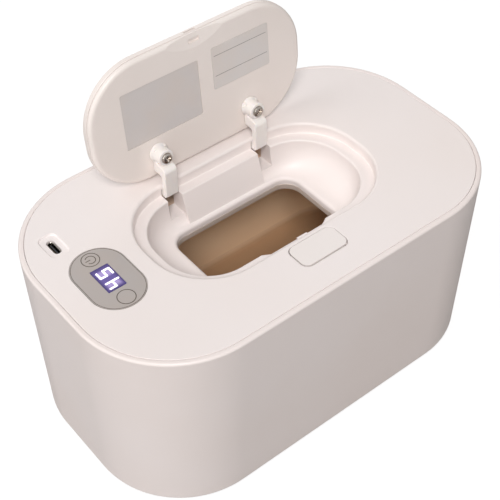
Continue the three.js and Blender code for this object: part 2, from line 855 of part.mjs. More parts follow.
function buildCoverPan() {
  const outer = rimWidth + shoulderWidth + panWallGap;
  const inner = outer + panWall;
  const opening = collarWall + collarInset + seatGap;
  const wallTop = panelUnderZ - seatGap;
  const floorTop = topZ - panFloorDepth;
  const floorUnder = topZ - panUnderDepth;
  const tub = skin([
    panelRing(outer, floorUnder),
    panelRing(outer, wallTop),
    panelRing(inner, wallTop),
    panelRing(inner, floorTop),
    throatRing(opening, floorTop),
    throatRing(opening, floorUnder),
  ], true);
  const screwHoles = fourCorners.map(([, sideX, sideY]) => uprightRod(
    bigBoreRadius, floorUnder - overrun, floorTop + overrun, sideX * coverScrewX, sideY * coverScrewY));
  const halfX = fuseRadius + fuseWindowMargin;
  const halfY = fuseHalfLength + fuseWindowMargin;
  return cut(tub, ...screwHoles,
    box([fuseX - halfX, -halfY, floorUnder - overrun], [fuseX + halfX, halfY, floorTop + overrun]),
    uprightRod(sensorRadius + fuseWindowMargin, floorUnder - overrun, floorTop + overrun, fuseX, sensorY));
}

addPiece(cover, 'cover_pan', buildCoverPan(), innerGrey);

const filmLowZ = topZ - filmDepth - filmThickness;
const filmHighZ = topZ - filmDepth;
addPiece(cover, 'heating_film', skin([
  heaterRing(-filmBorder, filmLowZ),
  heaterRing(-filmBorder, filmHighZ),
  throatRing(filmBorder, filmHighZ),
  throatRing(filmBorder, filmLowZ),
], true), filmAmber);

addPiece(cover, 'heater_plate', skin([
  heaterRing(0, topZ - heaterUnderDepth),
  heaterRing(0, topZ - heaterDepth),
  throatRing(collarInset + collarWall, topZ - heaterDepth),
  throatRing(collarInset + collarWall, topZ - throatDepth - seatGap),
  throatRing(collarInset, topZ - throatDepth - seatGap),
  throatRing(collarInset, topZ - heaterUnderDepth),
], true), aluminium);

addPiece(cover, 'thermal_fuse', new THREE.CylinderGeometry(fuseRadius, fuseRadius, fuseHalfLength * 2, smallSides)
  .translate(fuseX, 0, filmHighZ + filmGap + fuseRadius), ceramicWhite);

addPiece(cover, 'temperature_sensor', new THREE.SphereGeometry(sensorRadius, smallSides, smallSides / 2)
  .translate(fuseX, sensorY, filmHighZ + filmGap + sensorRadius), darkPlastic);

// The cover's long screws come up from the pan into the panel's bosses.
const coverScrewMargin = 1;
fourCorners.forEach(([corner, sideX, sideY]) => {
  const length = panFloorThickness + seatGap * 2 + coverBoreLength - coverScrewMargin;
  const piece = addPiece(cover, `cover_screw_${corner}`,
    screw(bigScrewRadius, bigHeadRadius, bigHeadHeight, length), steel);
  piece.position.set(sideX * coverScrewX, sideY * coverScrewY, topZ - panUnderDepth - seatGap - bigHeadHeight);
});

// Leads from the fuse and the film to the control board, lying on the pan's floor

const leadRadius = 0.8;
const leadSteps = 40;
const leadZ = topZ - panFloorDepth + seatGap * 2 + leadRadius;
const leadSpacing = 3;
const leadRunInset = 24.25;
const leadRunY = leadRunInset - bodyHalfY;
const leadEndShift = 1;
const leadEndX = overlayCentreX - leadEndShift;
const leadRiseY = -touchKeyOffsetY;

function heaterLead(offset, startY) {
  const run = leadRunY - offset;
  const points = [
    [fuseX, startY, leadZ],
    [fuseX - leadSpacing, (startY + leadRunY) / 2, leadZ],
    [fuseX - leadSpacing * 4, run, leadZ],
    [0, run, leadZ],
    [-fuseX, run, leadZ],
    [leadEndX - offset, (leadRunY + leadRiseY) / 2, leadZ + leadRadius * 2],
    [leadEndX - offset, leadRiseY, (leadZ + boardUnderZ) / 2],
    [leadEndX - offset, leadRiseY + leadSpacing, boardUnderZ - leadRadius * 2],
  ];
  return tubeAlong(points, leadRadius, leadSteps);
}

addPiece(cover, 'heater_lead', heaterLead(0, -fuseHalfLength - seatGap), leadRed);
addPiece(cover, 'return_lead', heaterLead(leadSpacing, -fuseHalfLength - leadSpacing * 3), leadBlack);

// Control board with its parts, hung under the panel on two bosses

const boardCornerRadius = 8;
const chipHalf = 5;
const chipHeight = 1.4;
const driverHalfX = 2.6;
const driverHalfY = 3.4;
const driverHeight = 2.2;
const driverOffsetY = 18;
const capacitorRadius = 3;
const capacitorHeight = 6;
const capacitorOffsetY = 16;
const boardPartGap = 0.2;

addPiece(cover, 'control_board', cut(
  slab({
    x: boardHalfX, y: boardHalfY, r: boardCornerRadius, low: boardUnderZ, high: topZ - boardDepth,
    cx: boardCentreX, cy: boardCentreY,
  }),
  ...[-1, 1].map((side) => uprightRod(smallBoreRadius, boardUnderZ - overrun, topZ - boardDepth + overrun,
    boardScrewX, boardCentreY + side * boardScrewOffsetY)),
), boardGreen);

function boardPart(name, halfX, halfY, height, x, y, material) {
  const high = boardUnderZ - boardPartGap;
  addPiece(cover, name, box([x - halfX, y - halfY, high - height], [x + halfX, y + halfY, high]), material);
}

boardPart('main_chip', chipHalf, chipHalf, chipHeight, boardCentreX, boardCentreY, darkPlastic);
boardPart('heater_driver', driverHalfX, driverHalfY, driverHeight, boardCentreX + chipHalf * 2,
  boardCentreY - driverOffsetY / 2, darkPlastic);
addPiece(cover, 'filter_capacitor', uprightRod(capacitorRadius, boardUnderZ - boardPartGap - capacitorHeight,
  boardUnderZ - boardPartGap, boardCentreX - chipHalf, boardCentreY + capacitorOffsetY), aluminium);

[-1, 1].forEach((side) => {
  const length = boardThickness + seatGap + boardBoreLength - coverScrewMargin;
  const piece = addPiece(cover, side < 0 ? 'board_screw_front' : 'board_screw_back',
    screw(smallScrewRadius, smallHeadRadius, smallHeadHeight, length), steel);
  piece.position.set(boardScrewX, boardCentreY + side * boardScrewOffsetY,
    boardUnderZ - seatGap - smallHeadHeight);
});

// Display and touch keys

const displayHalfX = 5.8;
const displayHalfY = 9;
const displayGap = 0.5;
const lensDepth = 2.5;
const lensTopGap = 0.05;
const touchCoilRadius = 2.8;
const touchWireRadius = 0.25;
const touchTurns = 4;

addPiece(cover, 'control_overlay', cut(
  slab({
    x: overlayHalfX, y: overlayHalfY, r: overlayCornerRadius,
    low: topZ - overlayThickness, high: topZ, cx: overlayCentreX,
  }),
  slab({
    x: windowHalfX, y: windowHalfY, r: windowCornerRadius,
    low: topZ - overlayThickness - overrun, high: topZ + overrun, cx: overlayCentreX,
  }),
), overlayGrey);

addPiece(cover, 'display_window', slab({
  x: windowHalfX - windowGap, y: windowHalfY - windowGap, r: windowCornerRadius - windowGap,
  low: topZ - lensDepth, high: topZ - lensTopGap, cx: overlayCentreX,
}), displayViolet);

addPiece(cover, 'display_module', box(
  [overlayCentreX - displayHalfX, -displayHalfY, topZ - boardDepth + boardPartGap],
  [overlayCentreX + displayHalfX, displayHalfY, topZ - lensDepth - displayGap],
), darkPlastic);

[-1, 1].forEach((side) => {
  const low = topZ - boardDepth + boardPartGap + touchWireRadius;
  const high = panelUnderZ - seatGap - touchWireRadius;
  const spring = coil(touchCoilRadius, touchWireRadius, low, high, touchTurns)
    .translate(overlayCentreX, side * touchKeyOffsetY, 0);
  addPiece(cover, side < 0 ? 'touch_spring_front' : 'touch_spring_back', spring, springSteel);
});

// Socket standing on the board under the panel's dish

const socketMouthDepth = 1.6;
const socketFloor = 1;
const socketWall = 0.35;
const tongueHalfThickness = 0.35;
const tongueHalfLength = 3.3;
const tongueTopDepth = 2.4;
const coreHalfX = 0.95;
const coreHalfY = 3.4;
const coreHeight = 0.8;

function socketRing(grow, z) {
  return { x: socketHalfX + grow, y: socketHalfY + grow, r: socketHalfX + grow, z, cx: socketX, cy: socketY };
}

const socketFootZ = topZ - boardDepth + boardPartGap;
addPiece(cover, 'usb_socket', skin([
  socketRing(0, socketFootZ),
  socketRing(0, topZ - socketMouthDepth),
  socketRing(-socketWall, topZ - socketMouthDepth),
  socketRing(-socketWall, socketFootZ + socketFloor),
]), steel);

const coreLowZ = socketFootZ + socketFloor + boardPartGap;
addPiece(cover, 'usb_tongue', join(
  box([socketX - coreHalfX, socketY - coreHalfY, coreLowZ],
    [socketX + coreHalfX, socketY + coreHalfY, coreLowZ + coreHeight]),
  box([socketX - tongueHalfThickness, socketY - tongueHalfLength, coreLowZ + coreHeight / 2],
    [socketX + tongueHalfThickness, socketY + tongueHalfLength, topZ - tongueTopDepth]),
), darkPlastic);

// Hinge carrier under the panel: it closes the space behind the two channels and holds the pin with
// the two springs that throw the lid open

const carrierTopDepth = 2.6;
const carrierBarGap = 0.2;
const carrierBarY = hubSpaceBackY + carrierBarGap;
const carrierBarThickness = 2.2;
const carrierFloorDrop = 0.6;
const carrierFloorDepth = channelDepth + carrierFloorDrop;
const carrierFloorThickness = 1.4;
const cheekGap = 0.5;
const cheekFrontY = channelBackY + cheekGap;
const innerCheekX = 13.5;
const innerCheekWidth = 2.5;
const outerCheekWidth = 2.6;
const outerCheekX = notchOuter + seatGap;
const carrierEndMargin = 2.05;
const carrierHalfX = outerCheekX + outerCheekWidth + carrierEndMargin;
const lugThickness = 2.5;
const lugHalfX = 3.4;
const lugBackY = carrierScrewY + lugHalfX;
const pinGap = 0.3;
const pinOverhang = 0.6;

function buildCarrier() {
  const top = topZ - carrierTopDepth;
  const underFloor = topZ - carrierFloorDepth - carrierFloorThickness;
  const bar = box([-carrierHalfX, carrierBarY, underFloor],
    [carrierHalfX, carrierBarY + carrierBarThickness, top]);
  const parts = [-1, 1].flatMap((side) => {
    const span = (from, to) => [Math.min(side * from, side * to), Math.max(side * from, side * to)];
    const [innerLow, innerHigh] = span(innerCheekX, innerCheekX + innerCheekWidth);
    const [outerLow, outerHigh] = span(outerCheekX, outerCheekX + outerCheekWidth);
    const backY = carrierBarY + carrierBarThickness / 2;
    const [lugLow, lugHigh] = span(carrierScrewX - lugHalfX, carrierScrewX + lugHalfX);
    return [
      box([innerLow, cheekFrontY, underFloor], [innerHigh, backY, top]),
      box([outerLow, cheekFrontY, underFloor], [outerHigh, backY, top]),
      box([Math.min(innerLow, outerLow), cheekFrontY, underFloor],
        [Math.max(innerHigh, outerHigh), backY, underFloor + carrierFloorThickness]),
      box([lugLow, backY, topZ - carrierLugDepth - lugThickness], [lugHigh, lugBackY, topZ - carrierLugDepth]),
    ];
  });
  const tools = [
    crossRod(pinRadius + pinGap, -carrierHalfX - overrun, carrierHalfX + overrun, pivotY, pivotZ),
    ...[-1, 1].map((side) => uprightRod(smallBoreRadius, topZ - carrierLugDepth - lugThickness - overrun,
      topZ - carrierLugDepth + overrun, side * carrierScrewX, carrierScrewY)),
  ];
  return cut(join(bar, ...parts), ...tools);
}

addPiece(cover, 'hinge_carrier', buildCarrier(), shellWhite);

const pinHalfLength = outerCheekX + outerCheekWidth + pinOverhang;
addPiece(cover, 'hinge_pin', crossRod(pinRadius, -pinHalfLength, pinHalfLength, pivotY, pivotZ), steel);

[-1, 1].forEach((side) => {
  const length = lugThickness + seatGap + carrierBoreLength - coverScrewMargin / 2;
  const piece = addPiece(cover, side < 0 ? 'carrier_screw_left' : 'carrier_screw_right',
    screw(smallScrewRadius, smallHeadRadius, smallHeadHeight, length), steel);
  piece.position.set(side * carrierScrewX, carrierScrewY,
    topZ - carrierLugDepth - lugThickness - seatGap - smallHeadHeight);
});

const torsionRadius = 1.68;
const torsionWireRadius = 0.3;
const torsionTurns = 6;
const torsionLegLength = 3;
const torsionInnerX = innerCheekX + innerCheekWidth + seatGap + torsionWireRadius;
const torsionOuterX = notchInner - seatGap - torsionWireRadius;

// Coil about the pin whose two ends run off straight: back to the carrier, and down beside the arm.
function buildTorsionSpring(side) {
  const points = [];
  const count = torsionTurns * coilSteps;
  points.push([side * torsionInnerX, pivotY + torsionLegLength, pivotZ + torsionRadius]);
  for (let step = 0; step <= count; step++) {
    const angle = Math.PI / 2 + step / coilSteps * Math.PI * 2;
    const x = THREE.MathUtils.lerp(torsionInnerX, torsionOuterX, step / count);
    points.push([side * x, pivotY + torsionRadius * Math.cos(angle), pivotZ + torsionRadius * Math.sin(angle)]);
  }
  points.push([side * torsionOuterX, pivotY - torsionLegLength / 2, pivotZ + torsionRadius]);
  return tubeAlong(points, torsionWireRadius, count + 2, wireSides);
}

addPiece(cover, 'torsion_spring_left', buildTorsionSpring(-1), springSteel);
addPiece(cover, 'torsion_spring_right', buildTorsionSpring(1), springSteel);

// Latch housing under the button: its rails guide the slider and its post holds the button's spring

const sliderDepth = 11;
const sliderThickness = 1.4;
const sliderHalfX = 12;
const sliderFrontReach = 5.25;
const sliderBackReach = 6.25;
const sliderFrontY = buttonCentreY - sliderFrontReach;
const sliderBackY = buttonCentreY + sliderBackReach;
const sliderCentreY = (sliderFrontY + sliderBackY - latchTravel) / 2;
const springHoleHalf = 3.4;
const housingThickness = 1.5;
const housingHalfX = 21.5;
const housingHalfY = 9.6;
const housingShift = 3.85;
const housingCentreY = buttonCentreY - housingShift;
const housingFloorZ = topZ - housingFloorDepth;
const railWidth = 1.4;
const railHeight = 2.4;
const railHalfY = 7;
const springPostRadius = 1.2;
const springPostHeight = 2.4;

addPiece(cover, 'latch_housing', cut(
  join(
    slab({
      x: housingHalfX, y: housingHalfY, r: smallBossRadius,
      low: housingFloorZ - housingThickness, high: housingFloorZ, cy: housingCentreY,
    }),
    uprightRod(springPostRadius, housingFloorZ - housingThickness / 2, housingFloorZ + springPostHeight,
      0, buttonCentreY),
    ...[-1, 1].map((side) => {
      const middle = side * (sliderHalfX + seatGap + railWidth / 2);
      return box([middle - railWidth / 2, sliderCentreY - railHalfY, housingFloorZ - housingThickness / 2],
        [middle + railWidth / 2, sliderCentreY + railHalfY, housingFloorZ + railHeight]);
    }),
  ),
  ...[-1, 1].map((side) => uprightRod(smallBoreRadius, housingFloorZ - housingThickness - overrun,
    housingFloorZ + overrun, side * housingScrewX, housingScrewY)),
), innerGrey);

[-1, 1].forEach((side) => {
  const length = housingThickness + seatGap + housingBoreLength - coverScrewMargin;
  const piece = addPiece(cover, side < 0 ? 'housing_screw_left' : 'housing_screw_right',
    screw(smallScrewRadius, smallHeadRadius, smallHeadHeight, length), steel);
  piece.position.set(side * housingScrewX, housingScrewY,
    housingFloorZ - housingThickness - seatGap - smallHeadHeight);
});

// Release button and the latch slider. The button's two legs end in feet that slant at 45 degrees
// through slots in the slider, so the slider leaves the lid and returns by as much as the button moves.

const buttonPlateThickness = panelThickness + seatGap;
const buttonEdgeRound = 0.5;
const buttonFlangeThickness = 1.2;
const buttonFlangeSide = 1.4;
const buttonFlangeFront = 2;
const stemRadius = 2.6;
const stemDepth = 6;
const legX = 9;
const legHalfX = 1.5;
const legHalfThickness = 0.8;
const legShift = 0.75;
const legY = buttonCentreY - legShift;
const footTopDepth = 7.4;
const footTipDepth = 10.7;
const footGap = 0.4;
const blockDepth = 8.8;
const blockFrontReach = 3.05;
const blockBackReach = 5.45;
const blockFrontY = buttonCentreY - blockFrontReach;
const blockBackY = buttonCentreY + blockBackReach;
const blockHalfX = 2.6;

function buildButton() {
  const flangeZ = topZ - buttonPlateThickness;
  const flangeUnderZ = flangeZ - buttonFlangeThickness;
  const plateRing = (inset, z) => ({
    x: buttonHalfX - inset, y: buttonHalfY - inset, r: buttonCornerRadius - inset, z, cy: buttonCentreY,
  });
  const plate = skin([
    plateRing(0, flangeUnderZ),
    plateRing(0, topZ - buttonEdgeRound),
    plateRing(buttonEdgeRound * quarterShare, topZ - buttonEdgeRound * quarterShare),
    plateRing(buttonEdgeRound, topZ),
  ]);
  const flange = slab({
    x: buttonHalfX + buttonFlangeSide, y: buttonHalfY + buttonFlangeFront / 2, r: buttonCornerRadius,
    low: flangeUnderZ, high: flangeZ, cy: buttonCentreY - buttonFlangeFront / 2,
  });
  const stem = uprightRod(stemRadius, topZ - stemDepth, flangeUnderZ + buttonFlangeThickness / 2,
    0, buttonCentreY);
  const rootZ = flangeUnderZ + buttonFlangeThickness / 2;
  const footRun = footTipDepth - footTopDepth;
  const legs = [-1, 1].map((side) => profileAlongX([
    [legY - legHalfThickness, rootZ],
    [legY - legHalfThickness, topZ - footTopDepth],
    [legY - legHalfThickness + footRun, topZ - footTipDepth],
    [legY + legHalfThickness + footRun, topZ - footTipDepth],
    [legY + legHalfThickness, topZ - footTopDepth],
    [legY + legHalfThickness, rootZ],
  ], side * legX - legHalfX, side * legX + legHalfX));
  return join(plate, flange, stem, ...legs);
}

addPiece(cover, 'release_button', buildButton(), shellWhite);

function buildSlider() {
  const top = topZ - sliderDepth;
  const under = top - sliderThickness;
  const plate = box([-sliderHalfX, sliderFrontY, under], [sliderHalfX, sliderBackY, top]);
  const bridge = box([-tongueHalfX, sliderBackY - overrun, under], [tongueHalfX, tongueBackY, top]);
  const tongue = box([-tongueHalfX, tongueFrontY, under], [tongueHalfX, tongueBackY, topZ - noseDepth]);
  const noseTipY = -lidHalfY + noseReach;
  const noseZ = topZ - noseDepth;
  const nose = profileAlongX([
    [tongueFrontY, noseZ - noseThickness],
    [noseTipY, noseZ - noseThickness],
    [noseTipY, noseZ - noseThickness / 2],
    [noseTipY - noseThickness / 2, noseZ],
    [tongueFrontY, noseZ],
  ], -noseHalfX, noseHalfX);
  const blocks = [-1, 1].map((side) => box(
    [side * legX - blockHalfX, blockFrontY, top - sliderThickness / 2],
    [side * legX + blockHalfX, blockBackY, topZ - blockDepth]));
  // The slot follows the foot's slant from above the block to below the plate.
  const highZ = topZ - footTopDepth;
  const lowZ = under - overrun;
  const reach = legHalfThickness + footGap;
  const slotHalf = legHalfX + seatGap;
  const slots = [-1, 1].map((side) => profileAlongX([
    [legY - reach, highZ],
    [legY - reach + highZ - lowZ, lowZ],
    [legY + reach + highZ - lowZ, lowZ],
    [legY + reach, highZ],
  ], side * legX - slotHalf, side * legX + slotHalf));
  const springHole = box([-springHoleHalf, buttonCentreY - springHoleHalf, under - overrun],
    [springHoleHalf, buttonCentreY + springHoleHalf + latchTravel, top + overrun]);
  return cut(join(plate, bridge, tongue, nose, ...blocks), ...slots, springHole);
}

addPiece(cover, 'latch_slider', buildSlider(), innerGrey);

const buttonSpringRadius = 2.1;
const springWireRadius = 0.3;
const buttonSpringTurns = 5;

addPiece(cover, 'button_spring', coil(buttonSpringRadius, springWireRadius,
  housingFloorZ + seatGap + springWireRadius, topZ - stemDepth - seatGap - springWireRadius,
  buttonSpringTurns).translate(0, buttonCentreY, 0), springSteel);

// Lid shell, liner and plates

const lidPlateThickness = 1.2;
const lidRimDepth = 2.8;
const lidRimWall = 1.4;
const lidEdgeRound = 0.5;
const linerSideGap = 0.4;
const linerRibInset = 1.8;
const linerRibWidth = 1.2;
const linerRibDepth = 1.6;
const linerPlateThickness = 1.9;
const linerRound = 2.5;
// Rounded edge of the liner: share of the round taken inwards, then share of the way to its face.
const linerEdgeShares = [[0.06, 0.45], [0.29, 0.8], [1, 1]];
const scoopHalfChord = 18.5;
const scoopReach = 7;
const scoopFootReach = 0.8;
const scoopDepth = 1.3;
const scoopSlotHalfX = 3.1;
const scoopSlotFront = 2.8;
const scoopSlotBack = 4.7;
const scoopSlotDepth = 1.4;
const slotHalfX = 3.2;
const slotGap = 0.3;
const armScrewInset = 13.3;
const armScrewY = lidHalfY - armScrewInset;
const lidBossRadius = 2.8;
const lidBossDepth = 3.3;
const lidBoreDepth = 1.6;

function lidRing(grow, depth) {
  return { x: lidHalfX + grow, y: lidHalfY + grow, r: lidCornerRadius + grow, z: topZ - depth };
}

function buildLidShell() {
  const cup = skin([
    lidRing(-lidEdgeRound, 0),
    lidRing(-lidEdgeRound * quarterShare, lidEdgeRound * quarterShare),
    lidRing(0, lidEdgeRound),
    lidRing(0, lidRimDepth),
    lidRing(-lidRimWall, lidRimDepth),
    lidRing(-lidRimWall, lidPlateThickness),
  ]);
  const posts = [-1, 1].map((side) => uprightRod(lidBossRadius, topZ - lidBossDepth,
    topZ - lidPlateThickness / 2, side * armCentreX, armScrewY));
  const bores = [-1, 1].map((side) => uprightRod(bigBoreRadius, topZ - lidBossDepth - overrun,
    topZ - lidBoreDepth, side * armCentreX, armScrewY));
  const catchSlot = box(
    [-slotHalfX, -lidHalfY - overrun, topZ - noseDepth - noseThickness - slotGap],
    [slotHalfX, -lidHalfY + lidRimWall + overrun, topZ - noseDepth + slotGap]);
  return cut(join(cup, ...posts), ...bores, catchSlot);
}

addLidPiece('lid_shell', buildLidShell(), lidWhite);

// Left, right, front and back edges of the two plates, as shares of the lid's half length and half depth
const blankPlateShares = [-0.7, 0.005, -0.56, 0.34];
const labelPlateShares = [0.137, 0.683, -0.64, 0.043];
const blankPlateSink = 0.25;
const labelPlateProud = 0.15;
const plateCorner = 0.8;
const lidPlateLeaf = 0.4;

function lidPlate(name, [left, right, front, back], face) {
  return {
    name,
    face,
    x: lidHalfX * (left + right) / 2,
    y: lidHalfY * (front + back) / 2,
    halfX: lidHalfX * (right - left) / 2,
    halfY: lidHalfY * (back - front) / 2,
  };
}

const lidPlates = [
  lidPlate('blank_plate', blankPlateShares, lidThickness - blankPlateSink),
  lidPlate('label_plate', labelPlateShares, lidThickness + labelPlateProud),
];

function buildLiner() {
  const seat = lidRimDepth + seatGap;
  const middle = lidThickness - linerPlateThickness;
  const ribInner = linerRibInset + linerRibWidth;
  const tray = skin([
    lidRing(-ribInner, middle),
    lidRing(-ribInner, linerRibDepth),
    lidRing(-linerRibInset, linerRibDepth),
    lidRing(-linerRibInset, seat),
    lidRing(-linerSideGap, seat),
    ...linerEdgeShares.map(([inwards, down]) => lidRing(
      -linerSideGap - linerRound * inwards, THREE.MathUtils.lerp(seat, lidThickness, down))),
  ]);
  // The finger scoop is cut by a cone: its arc on the face narrows towards the front edge.
  const scoopRadius = (scoopHalfChord ** 2 + scoopReach ** 2) / (2 * scoopReach);
  const footRadius = scoopRadius - scoopReach + scoopFootReach;
  const flare = (scoopRadius - footRadius) * overrun / scoopDepth;
  const scoop = new THREE.CylinderGeometry(footRadius, scoopRadius + flare, scoopDepth + overrun, roundSides * 4)
    .rotateX(Math.PI / 2)
    .translate(0, scoopReach - lidHalfY - scoopRadius, topZ - lidThickness + (scoopDepth - overrun) / 2);
  const scoopSlot = box([-scoopSlotHalfX, scoopSlotFront - lidHalfY, topZ - lidThickness - overrun],
    [scoopSlotHalfX, scoopSlotBack - lidHalfY, topZ - lidThickness + scoopSlotDepth]);
  const screwHoles = [-1, 1].map((side) => uprightRod(lidBossRadius + seatGap,
    topZ - lidThickness - overrun, topZ, side * armCentreX, armScrewY));
  const pockets = lidPlates.map(({ x, y, halfX, halfY, face }) => slab({
    x: halfX + plateGap, y: halfY + plateGap, r: plateCorner + plateGap,
    low: topZ - lidThickness - overrun, high: topZ - face + lidPlateLeaf + plateGap, cx: x, cy: y,
  }));
  return cut(tray, scoop, scoopSlot, ...screwHoles, ...pockets);
}

addLidPiece('lid_liner', buildLiner(), lidWhite);

lidPlates.forEach(({ name, x, y, halfX, halfY, face }) => {
  addLidPiece(name, slab({
    x: halfX, y: halfY, r: plateCorner, low: topZ - face, high: topZ - face + lidPlateLeaf, cx: x, cy: y,
  }), labelSilver);
});

// Gooseneck arms: drawn in the open pose about the pin, where the column just clears the recess wall

const columnThickness = 3.2;
const columnWallGap = 0.3;
const elbowRadius = 2;
const columnTop = 13.4;
const neckThickness = 5.4;
const padGap = 0.3;
const padThickness = 2.2;
const padNear = 11;
const padFar = 23.2;
const padDiscRadius = 4.8;
const bossRadius = 4.1;
const bossLength = 4.4;
const bossEdge = 0.5;
const innerBend = 1.2;
const footBend = 0.4;
const outerBend = 2.4;
const armHeadRadius = 2.8;
const armHeadHeight = 1.3;

// A point of the closed lid, given from the pin, as it stands with the lid open.
function closedToOpen(y, z) {
  const c = Math.cos(lidOpenAngle);
  const s = Math.sin(lidOpenAngle);
  return [c * y + s * z, -s * y + c * z];
}

function buildArm() {
  const back = recessHalfY - columnWallGap - pivotY;
  const front = back - columnThickness;
  const padBackDepth = pivotDepth - lidThickness - padGap;
  const padFrontDepth = padBackDepth - padThickness;
  const padFoot = closedToOpen(-padNear, padFrontDepth);
  const padTip = closedToOpen(-padFar, padFrontDepth);
  const padTipBack = closedToOpen(-padFar, padBackDepth);
  const padFootBack = closedToOpen(-padNear, padBackDepth);
  const neckLow = columnTop - neckThickness + outerBend;
  const outline = [
    ...arc(0, 0, hubRadius, Math.PI / 2, -Math.PI / 2, 10),
    ...arc(front + elbowRadius, -hubRadius + elbowRadius, elbowRadius, -Math.PI / 2, -Math.PI, 4),
    ...arc(front + outerBend, columnTop, outerBend, Math.PI, Math.PI / 2, 4),
    [padFoot[0] - outerBend, columnTop + outerBend],
    [padFoot[0], columnTop + outerBend + innerBend],
    padTip,
    padTipBack,
    padFootBack,
    [padFootBack[0] - innerBend, neckLow],
    ...arc(back + innerBend, neckLow - innerBend, innerBend, Math.PI / 2, Math.PI, 3),
    ...arc(back + footBend, hubRadius + footBend, footBend, Math.PI, Math.PI * 3 / 2, 3),
  ];
  const half = armWidth / 2;
  const neck = profileAlongX(outline, -half, half);
  const reach = padFrontDepth - bossLength;
  const boss = new THREE.LatheGeometry([
    new THREE.Vector2(0, reach),
    new THREE.Vector2(bossRadius - bossEdge, reach),
    new THREE.Vector2(bossRadius, reach + bossEdge),
    new THREE.Vector2(bossRadius, padFrontDepth),
    new THREE.Vector2(padDiscRadius, padFrontDepth + padDiscRadius - bossRadius),
    new THREE.Vector2(padDiscRadius, padBackDepth),
    new THREE.Vector2(0, padBackDepth),
  ], roundSides).rotateX(Math.PI / 2).translate(0, armScrewY - pivotY, 0).rotateX(-lidOpenAngle);
  const screwHole = uprightRod(bigBoreRadius, reach - overrun, padBackDepth + overrun,
    0, armScrewY - pivotY).rotateX(-lidOpenAngle);
  const pinHole = crossRod(pinRadius + pinGap, -armWidth, armWidth, 0, 0);
  return cut(join(neck, boss), screwHole, pinHole);
}

const armSides = [['left', -1], ['right', 1]];
armSides.forEach(([sideName, side]) => {
  const arm = addPiece(cover, `hinge_arm_${sideName}`, buildArm(), armWhite);
  arm.position.set(side * armCentreX, pivotY, pivotZ);

  const headFace = lidThickness + padGap + padThickness + bossLength + seatGap / 2 + armHeadHeight;
  const length = headFace - armHeadHeight - lidBoreDepth - seatGap;
  addLidPiece(`arm_screw_${sideName}`,
    screw(bigScrewRadius, armHeadRadius, armHeadHeight, length)
      .translate(side * armCentreX, armScrewY, topZ - headFace), steel);
});

export default warmer;
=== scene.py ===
import math
import bpy
from mathutils import Matrix, Vector


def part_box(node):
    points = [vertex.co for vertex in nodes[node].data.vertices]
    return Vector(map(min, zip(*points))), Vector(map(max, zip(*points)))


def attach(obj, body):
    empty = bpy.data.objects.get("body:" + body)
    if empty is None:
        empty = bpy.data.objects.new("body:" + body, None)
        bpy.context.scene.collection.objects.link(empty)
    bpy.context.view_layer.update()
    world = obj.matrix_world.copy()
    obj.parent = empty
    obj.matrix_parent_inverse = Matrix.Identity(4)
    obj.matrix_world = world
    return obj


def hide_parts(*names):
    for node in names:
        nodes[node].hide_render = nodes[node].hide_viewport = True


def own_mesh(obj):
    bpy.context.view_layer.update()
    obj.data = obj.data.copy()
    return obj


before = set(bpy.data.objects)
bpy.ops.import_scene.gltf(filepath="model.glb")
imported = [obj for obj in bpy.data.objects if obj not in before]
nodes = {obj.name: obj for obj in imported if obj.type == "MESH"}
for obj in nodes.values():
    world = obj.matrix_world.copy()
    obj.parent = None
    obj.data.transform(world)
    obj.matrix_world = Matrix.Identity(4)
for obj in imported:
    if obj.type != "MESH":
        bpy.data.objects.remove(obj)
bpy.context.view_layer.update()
mm = 0.001

# The camera stands where the photograph was taken from
cameraSettings = {
    "eye": (-248.17, -305.69, 467.35),
    "right": (0.77834, -0.62782, -0.00567),
    "up": (0.45100, 0.55280, 0.70072),
    "lens": 83.32,
    "sensor": 36,
    "near": 0.01,
    "far": 50,
}


def addCamera(s):
    data = bpy.data.cameras.new("photoCamera")
    data.lens = s["lens"]
    data.sensor_width = s["sensor"]
    data.clip_start = s["near"]
    data.clip_end = s["far"]
    camera = bpy.data.objects.new("photoCamera", data)
    right, up = Vector(s["right"]).normalized(), Vector(s["up"]).normalized()
    back = right.cross(up)
    turn = Matrix((right, back.cross(right), back)).transposed().to_4x4()
    camera.matrix_world = Matrix.Translation(Vector(s["eye"]) * mm) @ turn
    bpy.context.scene.collection.objects.link(camera)
    bpy.context.scene.camera = camera


addCamera(cameraSettings)
print("camera placed")


# One output socket that can be used in a Python expression
class Wire:
    def __init__(self, graph, socket):
        self.graph = graph
        self.socket = socket

    def maths(self, operation, first, second=0.0):
        return self.graph.node("ShaderNodeMath", {"operation": operation}, {0: first, 1: second})

    def __add__(self, other):
        return self.maths("ADD", self, other)

    def __radd__(self, other):
        return self.maths("ADD", other, self)

    def __sub__(self, other):
        return self.maths("SUBTRACT", self, other)

    def __rsub__(self, other):
        return self.maths("SUBTRACT", other, self)

    def __mul__(self, other):
        return self.maths("MULTIPLY", self, other)

    def __rmul__(self, other):
        return self.maths("MULTIPLY", other, self)

    def __truediv__(self, other):
        return self.maths("DIVIDE", self, other)

    def __rtruediv__(self, other):
        return self.maths("DIVIDE", other, self)

    def __abs__(self):
        return self.maths("ABSOLUTE", self)

    def larger(self, other):
        return self.maths("MAXIMUM", self, other)


